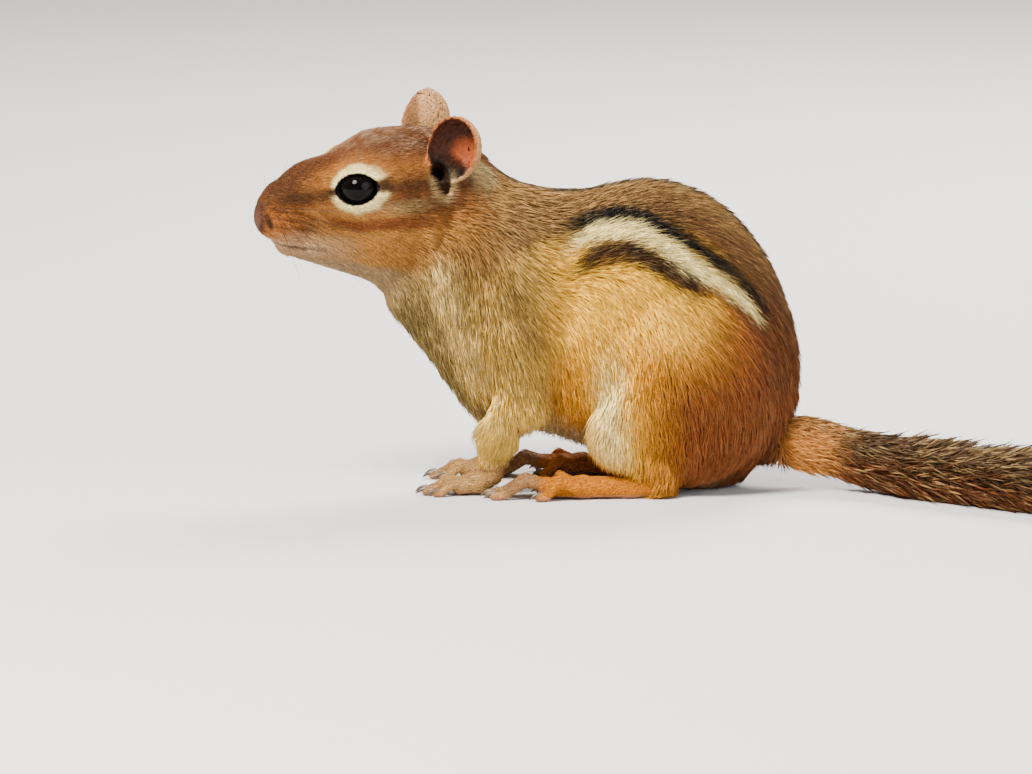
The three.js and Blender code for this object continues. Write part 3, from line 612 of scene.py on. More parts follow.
def head_colours(q):
    m = mirrored(q)
    x, y, z = m.T
    wave, fine = wander(q, 7, 5), wander(q, 2.6, 8)
    side = smooth(2.5, 5.5, y)
    frosted = smooth(10, 15, z + wave) * between(x, -30, 8, 4) * (0.5 + 0.5 * fine)
    temple = between(x + 0.5 * wave, -8.5, 3.5, 2.5) * between(z, 1.5, 9.5, 2.5) * side
    line = band(z, np.interp(x, *EYE_LINE) + 0.15 * wave, 1.2, 0.9) * side
    stripe = band(z, np.interp(x, *CHEEK_STRIPE) + 0.2 * fine, 1.35, 0.9) * side
    lower = band(z, np.interp(x, *LOWER_CREAM), 1.3, 0.9) * side
    pale = smooth(-3.5, -6.5, z + 0.3 * fine) * between(x, -33, -18, 4)
    jaw = smooth(-9.2, -11, z + 0.06 * (x + 30) + 0.2 * wave) * smooth(2, -10, x)
    lips = rope(m, MOUTH_LINE, [0.0] * len(MOUTH_LINE), 0.1)
    opening = lid_opening(m)
    at_eye = m - EYE_CENTRE
    ahead, rise, away = at_eye @ EYE_ALONG, at_eye @ EYE_RISE, np.linalg.norm(at_eye, axis=1)
    half = np.interp(ahead, [-8, -4.6, 4.6, 7.5], [1.5, 0.7, 0.35, 0.3])
    corner = smooth(3.6, 4.8, np.abs(ahead)) * (1 - smooth(half, half + 1.0, np.abs(rise + 0.05 * ahead)))
    outer = almond(m + 0.5 * EYE_ALONG, 13.0, 10.6) + 0.3 * fine
    ring = (1 - smooth(-0.7, 0.6, outer)) * smooth(0.1, 0.4, opening) * (away < 11)
    pad = smooth(-34.6, -36.0, x + 0.12 * np.abs(z + 2.2)) * between(z, -5.4, 1.2, 0.8)
    nostril = bar(m, NOSTRIL_TOP, NOSTRIL_FOOT, 0.0, 0.0)
    rows = [band(z, row - 0.07 * (x + 30), 0.32, 0.25) for row in WHISKER_ROWS]
    dots = [row * between(x, -34.5, -25, 1.2) * (0.75 + 0.25 * fine) for row in rows]
    return painted(
        plain("crown", q),
        ("crown_frost", 0.7 * frosted),
        ("brow", band(z, 8.8, 3.2, 2.4) * between(x + wave, -28, 2, 5) * side * 0.8),
        ("brow", band(z, 4.5, 4, 3) * between(x, -31, -22, 3) * side * 0.7),
        ("cheek", smooth(3.5, -2, z + 0.5 * wave)),
        ("muzzle", smooth(-22, -29, x + 0.6 * wave) * smooth(3.5, 1, z)),
        # The nose bridge, darkened as painted shade on the front of the face.
        ("shaded_bridge", smooth(-23, -31, x) * smooth(-1.5, 2.5, z + 0.4 * wave) * 0.9),
        ("temple", 0.7 * temple),
        ("eye_line", line * (0.7 * between(x, -33, -21, 3) + 0.6 * between(x, -12, 6, 4))),
        ("cheek_stripe", stripe * (0.85 * between(x, -24, -3, 3) + 0.45 * between(x, -3, 12, 4))),
        *(("eye_line", 0.7 * row * smooth(1.5, 3, y)) for row in dots),
        ("cream", 0.15 * lower * between(x, -12, -2, 3)),
        ("lip", 0.65 * pale),
        # Under the jaw: pale hair, darkened a little as painted shade.
        ("shaded_chin", 0.9 * jaw),
        ("lip", 0.8 * (1 - smooth(0.9, 1.9, lips))),
        # The carved mouth line painted dark: painted shade in the crease between the lips.
        ("eye_line", 0.9 * (1 - smooth(0.3, 0.7, lips))),
        ("cream", ring * (1 - corner)),
        ("dark", 0.8 * corner * between(ahead, -7.6, 7.0, 1.6) * (away < 10)),
        ("dark", (1 - smooth(0.15, 0.55, opening)) * (away < 8)),
        # The bare nose pad, darkened as painted shade.
        ("nose", pad * 0.9),
        # The carved nostril painted dark: painted shade in its hollow.
        ("dark", 0.9 * (1 - smooth(0.5, 0.95, nostril))),
    )


def tail_place(points):
    """The distance along the tail, and how far up its side a point lies, from -1 below to 1 on top."""
    gaps = np.stack([((points - p) ** 2).sum(1) for p in TAIL_PATH], 1)
    nearest = gaps.argmin(1)
    walk = TAIL_WALK[nearest]
    away = points - TAIL_PATH[nearest]
    return walk, away[:, 2] / np.maximum(np.linalg.norm(away, axis=1), 1e-6), nearest


def tail_colours(points):
    walk, high, _ = tail_place(points)
    root = smooth(18, 8, walk) * (1 - 0.5 * smooth(0.2, 0.9, high))
    top = smooth(-0.3, 0.5, high)
    return painted(plain("tail_under", points), ("tail_top", top), ("tail_root", root))


def beyond_neck(points):
    """How far a point lies on the head's side of the plane where the head's coat meets the neck's."""
    return (points - NECK_MIDDLE) @ NECK_LOOK


def head_share(points, q, low, high):
    """1 on the head, 0 on the neck, and between them where the two coats meet."""
    return smooth(low, high, beyond_neck(points)) * smooth(24, 10, q[:, 0])


def flow(points, q, parts):
    """Which way the coat lies, before it is laid flat on the skin."""
    x, _, z = points.T
    none = np.zeros(len(z))
    fall = np.radians(np.interp(z, [8, 25, 45, 62], [98, 80, 52, 26]))
    way = np.stack([np.cos(fall), none, -np.sin(fall)], 1)
    along, down, _ = back_angles(points)
    along = np.radians(along)
    over_back = np.stack([np.sin(along), none, -np.cos(along)], 1)
    way = mix(way, over_back, ((1 - smooth(58, 92, down)) * smooth(-22, -8, x))[:, None])
    way = mix(way, np.array([0.25, 0, -1.0]), smooth(-18, -34, x)[:, None] * smooth(62, 50, z)[:, None])
    back = [np.ones(len(q)), 0.25 * np.sign(q[:, 1]), np.interp(q[:, 2], [-8, 10], [-0.5, 0.35])]
    out = [0.5 * np.ones(len(q)), np.sign(q[:, 1]), 0.6 * np.sign(q[:, 2] + 2)]
    head_way = mix(np.stack(back, 1), np.stack(out, 1), smooth(-31, -37, q[:, 0])[:, None]) @ HEAD_TURN.T
    way = mix(way, head_way, head_share(points, q, -7, 5)[:, None])
    for here, lie in (
        (parts["ear"], np.array([0.25, 0, 1.0]) @ HEAD_TURN.T),
        (parts["paw"] | parts["foot"], np.array([-1.0, 0, -0.25])),
        (parts["arm"], np.array([-0.35, 0, -1.0])),
    ):
        way = np.where(here[:, None], lie, way)
    tail = parts["tail"]
    if tail.any():
        ahead = np.gradient(TAIL_PATH, axis=0)
        ahead /= np.linalg.norm(ahead, axis=1)[:, None]
        way[tail] = ahead[tail_place(points[tail])[2]]
    return way


def parts_of(points, q):
    """Which part of the animal each point of the skin belongs to."""
    under = flesh(points)
    x, y, z = points[:, 0], np.abs(points[:, 1]), points[:, 2]
    tail = (tail_field(points) < 0.6) & (x > 34.5) & (under > -2.0)
    foot = (z < 6.2) & (x < 7.5) & (x > -31) & (y > 10.5) & (under > -2.4)
    paw = (z < 5.5) & (x < -25) & (y > 6)
    arm = (z < 17) & (z >= 5.5) & (x < -20) & (y > 6)
    arm |= (z < 5.5) & (x >= -27.5) & (x < -23) & (y > 6) & (y < 18)
    ear = (ear_field(q) < 0.35) & (under > -0.9) & (q[:, 0] < 20) & (np.abs(q[:, 1]) < 20)
    head = (q[:, 0] < 11) & (beyond_neck(points) > 2.0 * wander(points, 5, 31)) & (x < -20)
    arm = arm & ~foot
    foot = foot & ~tail
    return {"tail": tail, "foot": foot, "paw": paw, "arm": arm, "ear": ear, "head": head & ~ear}


def ear_slit(at_ear):
    return np.minimum(bar(at_ear, *EAR_NOTCH), bar(at_ear, *EAR_CANAL))


def coloured(points, q, parts):
    colour = over(trunk_colours(points), head_colours(q), head_share(points, q, -9, 3))
    m = mirrored(q)
    behind = np.hypot((m[:, 0] - 11.5) / 3.8, (m[:, 2] - 8.0) / 4.2) + 0.15 * wander(q, 4, 23)
    colour = painted(colour, ("nape", 0.85 * (1 - smooth(0.5, 1.3, behind)) * smooth(3, 6, m[:, 1])))
    x, _, z = points.T
    worn = ("sole", smooth(1.4, 0.4, z))
    # Hind toes and forepaws take hues darkened as painted shade.
    foot = painted(plain("foot", points), ("toe", smooth(-15, -19, x)), worn)
    colour = np.where(parts["foot"][:, None], foot, colour)
    paw = painted(plain("paw", points), worn, ("arm", smooth(4.5, 9, z)))
    colour = over(colour, paw, np.where(parts["paw"], 1.0, parts["arm"] * (1 - smooth(8, 15, z))))
    at_ear, _, inner, mouth = ear_fields(q)
    local = at_ear - EAR["centre"]
    near_ear = np.abs(local).max(1) < 14
    across, _, rise = local.T
    # Inside the ear cup: a painted pool of light toward the back and a painted shadow low toward the front,
    # over a hue darkened as painted shade.
    lit = 1 - smooth(0.3, 1.2, np.hypot((across - 3.6) / 3.4, (rise + 1.6) / 4.0))
    cup_shadow = 0.9 * smooth(-1.5, -4.5, rise + 0.45 * across)
    cup = painted(plain("ear_inner_shade", points), ("ear_lit", 0.85 * lit), ("dark", cup_shadow))
    ear = over(plain("ear_back", points), HUES["crown"] * 0.8, 0.7 * between(across, -4.6, -1.4, 0.7))
    ear = painted(ear, ("ear_rim", band(mouth, 0.1, 0.5, 0.4) * smooth(-6, -3, rise)))
    ear = over(ear, cup, smooth(0.5, 0.25, inner) * smooth(0.35, 0.05, mouth))
    colour = over(colour, ear, smooth(1.2, 0.2, ear_field(q)) * near_ear * (parts["ear"] | (inner < 0.5)))
    slit = ear_slit(at_ear)
    colour = painted(
        colour,
        ("nape", 0.6 * (band(slit, 1.0, 0.5, 0.5) * smooth(-4.5, -7.5, rise) * near_ear)),
        # The ear canal and notch painted dark: painted shade in the hollows.
        ("dark", 0.92 * (1 - smooth(0.15, 0.6, slit)) * near_ear * (mouth < 1.2)),
    )
    return np.where(parts["tail"][:, None], tail_colours(points), colour)


def coat_plan(points, q, parts):
    """For each point: how long, raised, wide, dense and frosted its tufts are. Lengths in millimetres."""
    x, _, z = points.T
    behind, high = smooth(-18, -8, x), smooth(34, 46, z)
    reach = np.interp(z, [4, 20, 45, 62], [4.5, 6.0, 6.5, 6.5]) - 1.6 * behind * high
    face = np.interp(q[:, 0], [-37, -30, -18, 0, 12], [0.8, 1.2, 1.9, 3.2, 4.6])
    eye = np.linalg.norm(mirrored(q) - EYE_CENTRE, axis=1)
    face = np.where(eye < 11, np.minimum(face, 0.7 + 0.22 * np.maximum(eye - 5.2, 0)), face)
    at_ear, _, inner, _ = ear_fields(q)
    by_ear = np.abs(at_ear - EAR["centre"] - [0, 0, -2]).max(1)
    face = np.where(by_ear < 10, np.minimum(face, 0.9 + 0.35 * np.maximum(inner, 0)), face)
    toward = head_share(points, q, -10, 5)
    plan = {
        "reach": mix(reach, face, toward),
        "lift": 0.24 + (0.2 - 0.24) * toward,
        "girth": mix(0.26, np.interp(face, [0.8, 3.2], [0.13, 0.22]), toward),
        "cover": mix(6.2 + 1.4 * behind * high, np.interp(face, [0.8, 3.2], [13, 8]), toward),
    }
    for names, sizes in (
        (("paw", "foot"), (1.1, 0.14, 0.16, 9)),
        (("arm",), (2.2, 0.18, 0.2, 8)),
        (("ear",), (0.8, 0.16, 0.12, 8)),
        (("tail",), (12.5, 0.3, 0.31, 14)),
    ):
        here = np.any([parts[name] for name in names], axis=0)
        for key, size in zip(plan, sizes):
            plan[key] = np.where(here, size, plan[key])
    up_arm = np.interp(z, [6, 17], [0.0, 1.0])
    for key, top in (("reach", 5.2), ("girth", 0.25), ("cover", 6.5)):
        plan[key][parts["arm"]] += ((top - plan[key]) * up_arm)[parts["arm"]]
    tail = parts["tail"]
    if tail.any():
        walk = tail_place(points[tail])[0]
        plan["reach"][tail] = np.interp(walk, [0, 14, 26, 60, 74, 90], [4.5, 7, 11.5, 12.5, 10, 5.5])
    low = parts["foot"] | parts["paw"]
    in_ear = (by_ear < 12) & ((ear_slit(at_ear) < 0.3) | ((inner < 0.2) & parts["ear"]))
    on_eye = (eye < 7) & (lid_opening(mirrored(q)) < 0.5)
    nose = (q[:, 0] < -36.4) & (np.abs(q[:, 2] + 2.4) < 3.2) & parts["head"]
    bald = (low & (z < 1.0)) | in_ear | on_eye | nose | (z < 0.5)
    plan["cover"] = np.where(bald, 0, plan["cover"])
    down = back_angles(points)[1]
    frost = 0.22 + 0.2 * (1 - smooth(34, 46, down)) * high
    frost = np.maximum(frost, 0.5 * smooth(-8, -18, x) * smooth(30, 40, z))
    frost = frost + (0.3 - frost) * toward
    frost = np.where(tail, 0.65, frost)
    plan["frost"] = np.where(low | parts["ear"], 0.1, frost)
    return plan


def region_of(points, q, parts):
    """Which coat piece a face belongs to: the first in this list that holds it."""
    left, low, rear = points[:, 1] < 0, points[:, 2] < THIGH_TOP, points[:, 0] >= SHOULDER_END
    head = parts["head"]
    choices = {
        "coat_tail": parts["tail"],
        "coat_feet": parts["paw"] | parts["foot"] | parts["arm"],
        "coat_ears": parts["ear"],
        "coat_face": head & (q[:, 0] < FACE_END),
        "coat_head_left": head & (q[:, 1] < 0),
        "coat_head_right": head,
        "coat_thigh_left": rear & low & left,
        "coat_thigh_right": rear & low,
        "coat_back_left": rear & left,
        "coat_back_right": rear,
        "coat_shoulder_left": left,
        "coat_shoulder_right": ~left,
    }
    return np.select(list(choices.values()), [COAT_PIECES.index(name) for name in choices])


COAT_PIECES = [
    "coat_face", "coat_head_left", "coat_head_right", "coat_shoulder_left", "coat_back_left",
    "coat_back_right", "coat_thigh_left", "coat_thigh_right", "coat_ears", "coat_feet", "coat_tail",
    "coat_shoulder_right",
]
SHORT_COAT = ["coat_face", "coat_head_left", "coat_head_right", "coat_ears", "coat_feet"]
STRAY = {"coat_face": 0.16, "coat_tail": 0.34, "coat_feet": 0.15, "coat_ears": 0.25}
USUAL_STRAY = 0.22
MILLIMETRE = 0.001
PER_SQUARE_METRE = 1e6
SKIN_LOW, SKIN_HIGH = (-84, -57, -2), (110, 30, 90)
CLAW_LENGTH, CLAW_ARCH, CLAW_TIP = 3.0, 0.55, 0.35
EYE_SUNK, CORNEA = 0.12, 0.22
DRAPE = 0.9
PATCH = 0.003
FLOOR_LAYER = 0.0004


# The mesh objects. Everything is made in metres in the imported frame.
def eye_place(side):
    return from_head([EYE_CENTRE * [1, side, 1]])[0]


def frame_shift():
    """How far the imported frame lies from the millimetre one, from the eyes' places in both."""
    packed = [np.add(*map(np.array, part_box(f"eye_{name}"))) / 2 for name in SIDES]
    own = [eye_place(side) for side in SIDES.values()]
    shift = np.mean(packed, axis=0) * 1000 - np.mean(own, axis=0)
    return np.array([shift[0], shift[1], 0])


SHIFT = frame_shift()


def metres(points):
    return (np.asarray(points, float) + SHIFT) / 1000


def mesh_object(name, points, faces, smooth_faces=True):
    mesh = bpy.data.meshes.new(name)
    mesh.from_pydata(metres(points).tolist(), [], [list(map(int, face)) for face in faces])
    mesh.update()
    if smooth_faces:
        mesh.shade_smooth()
    piece = bpy.data.objects.new(name, mesh)
    bpy.context.scene.collection.objects.link(piece)
    return piece


def baked(piece):
    """The piece with its modifiers applied, as a plain mesh."""
    state = bpy.context.evaluated_depsgraph_get()
    ready = piece.evaluated_get(state)
    mesh = bpy.data.meshes.new_from_object(ready, preserve_all_data_layers=True, depsgraph=state)
    piece.modifiers.clear()
    piece.data = mesh
    mesh.name = piece.name
    return piece


def coordinates(mesh):
    flat = np.empty(len(mesh.vertices) * 3)
    mesh.vertices.foreach_get("co", flat)
    return flat.reshape(-1, 3) * 1000 - SHIFT


def store(mesh, name, kind, domain, values):
    attribute = mesh.attributes.new(name, kind, domain)
    key = {"FLOAT_VECTOR": "vector", "FLOAT_COLOR": "color"}.get(kind, "value")
    number = np.int32 if kind == "INT" else np.float32
    attribute.data.foreach_set(key, np.ascontiguousarray(values, dtype=number).ravel())


def unwrapped(piece):
    bpy.context.view_layer.objects.active = piece
    piece.select_set(True)
    piece.data.uv_layers.new(name="OFBake")
    bpy.ops.object.mode_set(mode="EDIT")
    bpy.ops.mesh.select_all(action="SELECT")
    bpy.ops.uv.smart_project(angle_limit=math.radians(66), island_margin=0.004)
    bpy.ops.object.mode_set(mode="OBJECT")
    piece.select_set(False)


def skin():
    verts, quads = netted(skin_field, SKIN_LOW, SKIN_HIGH, CELL)
    verts = drawn_to(skin_field, verts, 1)
    piece = mesh_object("skin", verts, quads)
    coarse = piece.vertex_groups.new(name="coarse")
    q = to_head(verts)
    keep = (q[:, 0] < 14) & (np.abs(q[:, 2]) < 26) | (verts[:, 2] < 7)
    coarse.add(np.flatnonzero(~keep).tolist(), 1.0, "REPLACE")
    coarse.add(np.flatnonzero(keep).tolist(), 0.25, "REPLACE")
    fewer = piece.modifiers.new("fewer", "DECIMATE")
    fewer.ratio = min(1.0, SKIN_TRIANGLES / (2 * len(quads)))
    fewer.vertex_group = "coarse"
    baked(piece)
    piece.vertex_groups.clear()
    piece.data.shade_smooth()
    return piece


def along_the_skin(mesh, ways):
    """The ways laid flat on the skin, each one long."""
    normals = np.empty(3 * len(mesh.vertices))
    mesh.vertices.foreach_get("normal", normals)
    normals = normals.reshape(-1, 3)
    flat = ways - normals * (ways * normals).sum(1)[:, None]
    return flat / np.maximum(np.linalg.norm(flat, axis=1), 1e-6)[:, None]


def dress(piece):
    """Colours, lie and sizes of the coat on the skin's points, and the coat piece of each face."""
    mesh = piece.data
    points = coordinates(mesh)
    q = to_head(points)
    parts = parts_of(points, q)
    lie = flow(points, q, parts)
    plan = coat_plan(points, q, parts)
    hang = DRAPE * np.maximum(plan["reach"] - 1.5, 0) * ~parts["tail"]
    shown = points + along_the_skin(mesh, lie) * hang[:, None]
    colour = coloured(shown, to_head(shown), parts)
    store(mesh, "markings", "FLOAT_COLOR", "POINT", np.hstack([colour, np.ones((len(colour), 1))]))
    store(mesh, "lie", "FLOAT_VECTOR", "POINT", lie)
    scales = {"reach": MILLIMETRE, "girth": MILLIMETRE, "cover": PER_SQUARE_METRE}
    for name, values in plan.items():
        store(mesh, name, "FLOAT", "POINT", values * scales.get(name, 1.0))
    store(mesh, "bare", "FLOAT", "POINT", np.where(plan["cover"] < 0.1, 1.0, 0.0))
    middles = np.array([p.center[:] for p in mesh.polygons]) * 1000 - SHIFT
    q = to_head(middles)
    store(mesh, "region", "INT", "FACE", region_of(middles, q, parts_of(middles, q)))


# Node trees: sums on a wire add Math nodes, and node() makes any other node
def operator(operation, turned=False):
    def made(wire, other):
        first, second = (other, wire) if turned else (wire, other)
        return wire.graph.maths(operation, first, second)
    return made


class Wire:
    """One output socket of a node tree. Sums on it add Math nodes."""

    def __init__(self, graph, socket):
        self.graph, self.socket = graph, socket

    __add__ = __radd__ = operator("ADD")
    __mul__ = __rmul__ = operator("MULTIPLY")
    __sub__ = operator("SUBTRACT")
    __rsub__ = operator("SUBTRACT", turned=True)
    __gt__ = operator("GREATER_THAN")
    __lt__ = operator("LESS_THAN")


class Graph:
    """A node tree that is being wired up."""

    def __init__(self, tree):
        self.tree = tree

    def node(self, kind, settings=None, sockets=None, out=0):
        """A new node with its settings, then the values or wires of its sockets. Returns one output."""
        made = self.tree.nodes.new(kind)
        for name, value in (settings or {}).items():
            if name == "stops":
                stops = made.color_ramp.elements
                while len(stops) < len(value):
                    stops.new(0.5)
                for stop, (place, colour) in zip(stops, value):
                    stop.position, stop.color = place, colour
            else:
                setattr(made, name, value)
        for name, value in (sockets or {}).items():
            socket = next(s for s in made.inputs if s.identifier == name)
            if isinstance(value, Wire):
                self.tree.links.new(value.socket, socket)
            else:
                socket.default_value = value
        if isinstance(out, str):
            return Wire(self, next(s for s in made.outputs if s.identifier == out))
        return Wire(self, made.outputs[out]) if made.outputs else None

    def maths(self, operation, *values):
        sockets = dict(zip(("Value", "Value_001", "Value_002"), values))
        return self.node("ShaderNodeMath", {"operation": operation}, sockets)

    def mixed(self, factor, first, second, blend_type="MIX"):
        settings = {"data_type": "RGBA", "blend_type": blend_type}
        sockets = {"Factor_Float": factor, "A_Color": first, "B_Color": second}
        return self.node("ShaderNodeMix", settings, sockets, "Result_Color")

    def times(self, first, second):
        """Two colours multiplied."""
        return self.mixed(1.0, first, second, "MULTIPLY")

    def noise(self, scale, detail=2.0, place=None, roughness=0.5):
        sockets = {"Vector": place or self.place(), "Scale": scale, "Detail": detail, "Roughness": roughness}
        return self.node("ShaderNodeTexNoise", {}, sockets)

    def bump(self, height, strength, depth):
        """A surface raised by up to this depth, in metres."""
        sockets = {"Strength": strength, "Distance": depth, "Height": height}
        return self.node("ShaderNodeBump", {}, sockets, "Normal")

    def attribute(self, name, out="Fac"):
        return self.node("ShaderNodeAttribute", {"attribute_name": name}, {}, out)

    def place(self):
        return self.node("ShaderNodeTexCoord", {}, {}, "Object")

    def ramp(self, value, *stops):
        """Colours by value. A stop's colour is a grey where it is one number."""
        stops = [(place, grey(colour) if isinstance(colour, float) else colour) for place, colour in stops]
        return self.node("ShaderNodeValToRGB", {"stops": stops}, {"Fac": value})


def material(name, display):
    made = bpy.data.materials.new(name)
    made.use_nodes = True
    made.diffuse_color = display
    made.node_tree.nodes.clear()
    return made, Graph(made.node_tree)


def finish_with(graph, sockets):
    shader = graph.node("ShaderNodeBsdfPrincipled", {}, sockets)
    graph.node("ShaderNodeOutputMaterial", {}, {"Surface": shader})


def grey(value):
    return (value, value, value, 1)


def fur_finish():
    """Tufts: the skin's markings, darker at the root as painted shade deep in the coat and paler at the tip,
    some tips ticked dark or buff.
    """
    made, graph = material("chipmunk_fur", (0.45, 0.28, 0.14, 1))
    along, tint, frost = (graph.attribute(name) for name in ("along", "tint", "frost"))
    shaded = graph.attribute("markings", "Color")
    shaded = graph.times(shaded, graph.ramp(tint, (0.0, 0.68), (0.5, 1.0), (1.0, 1.26)))
    # Darker towards the root: painted shade deep in the coat.
    shaded = graph.times(shaded, graph.ramp(along, (0.0, 0.5), (0.35, 0.86), (0.75, 1.08), (1.0, 1.2)))
    toward_tip = graph.ramp(along, (0.45, 0.0), (0.72, 1.0))
    dark = (tint < 0.3) * frost * toward_tip
    pale = (tint > 0.72) * frost * toward_tip
    shaded = graph.mixed(dark * 0.75, shaded, (0.035, 0.02, 0.011, 1))
    shaded = graph.mixed(pale * 0.42, shaded, (0.8, 0.56, 0.22, 1))
    patches = graph.noise(220.0)
    shaded = graph.mixed(patches * 0.22, shaded, graph.times(shaded, grey(0.62)))
    finish_with(graph, {"Base Color": shaded, "Roughness": 0.5 + tint * 0.2, "Specular IOR Level": 0.22})
    return made


def skin_finish():
    """The skin under the coat: the same markings as short flat hair, and bare on the nose, pads and lids."""
    made, graph = material("chipmunk_skin", (0.4, 0.26, 0.14, 1))
    colour = graph.attribute("markings", "Color")
    bare = graph.attribute("bare")
    place = graph.place()
    streaks = graph.noise(2600.0, 3.0, place, 0.6)
    patches = graph.noise(420.0, 2.0, place)
    furry = graph.times(colour, graph.ramp(streaks, (0.3, 0.5), (0.52, 0.9), (0.75, 1.25)))
    furry = graph.mixed(patches * 0.35, furry, graph.times(furry, grey(0.6)))
    mottle = graph.ramp(graph.noise(900.0, 3.0, place), (0.35, 0.75), (0.7, 1.1))
    shown = graph.mixed(bare, furry, graph.times(colour, mottle))
    grain = graph.node("ShaderNodeTexVoronoi", {}, {"Scale": 2400.0, "Vector": place}, "Distance")
    bump = graph.bump(streaks * (1 - bare) + grain * bare * 0.6, 0.5, 0.0002)
    rough = 0.78 - bare * 0.2
    finish_with(graph, {"Base Color": shown, "Roughness": rough, "Normal": bump, "Specular IOR Level": 0.15})
    return made


def eye_finish():
    made, graph = material("wet_dark_eye", (0.01, 0.008, 0.006, 1))
    fibres = graph.noise(3000.0, 3.0)
    iris = graph.mixed(fibres, (0.0014, 0.0009, 0.0008, 1), (0.004, 0.0024, 0.0016, 1))
    colour = graph.mixed(graph.attribute("ring"), (0.001, 0.0008, 0.0008, 1), iris)
    finish_with(graph, {"Base Color": colour, "Roughness": 0.08 + fibres * 0.04, "Specular IOR Level": 0.09})
    return made


def claw_finish():
    made, graph = material("claw_horn", (0.08, 0.05, 0.035, 1))
    horn = ((0.0, (0.16, 0.09, 0.055, 1)), (0.5, (0.05, 0.03, 0.02, 1)), (1.0, (0.025, 0.015, 0.012, 1)))
    grain = graph.noise(3500.0, 3.0)
    colour = graph.mixed(grain * 0.4, graph.ramp(graph.attribute("along"), *horn), (0.2, 0.13, 0.08, 1))
    bump = graph.bump(grain, 0.3, 0.0001)
    finish_with(graph, {"Base Color": colour, "Roughness": 0.25 + grain * 0.2, "Normal": bump})
    return made


def whisker_finish():
    made, graph = material("whisker_bristle", (0.05, 0.035, 0.03, 1))
    along = graph.attribute("along")
    colour = graph.ramp(along, (0.0, (0.02, 0.012, 0.008, 1)), (1.0, (0.12, 0.075, 0.045, 1)))
    finish_with(graph, {"Base Color": colour, "Roughness": 0.5 + along * 0.15, "Specular IOR Level": 0.15})
    return made


def floor_finish():
    made, graph = material("pale_floor", (0.8, 0.79, 0.77, 1))
    soft = graph.noise(6.0)
    colour = graph.mixed(soft * 0.4, (0.72, 0.71, 0.69, 1), (0.67, 0.66, 0.64, 1))
    finish_with(graph, {"Base Color": colour, "Roughness": 0.8 + soft * 0.1})
    return made


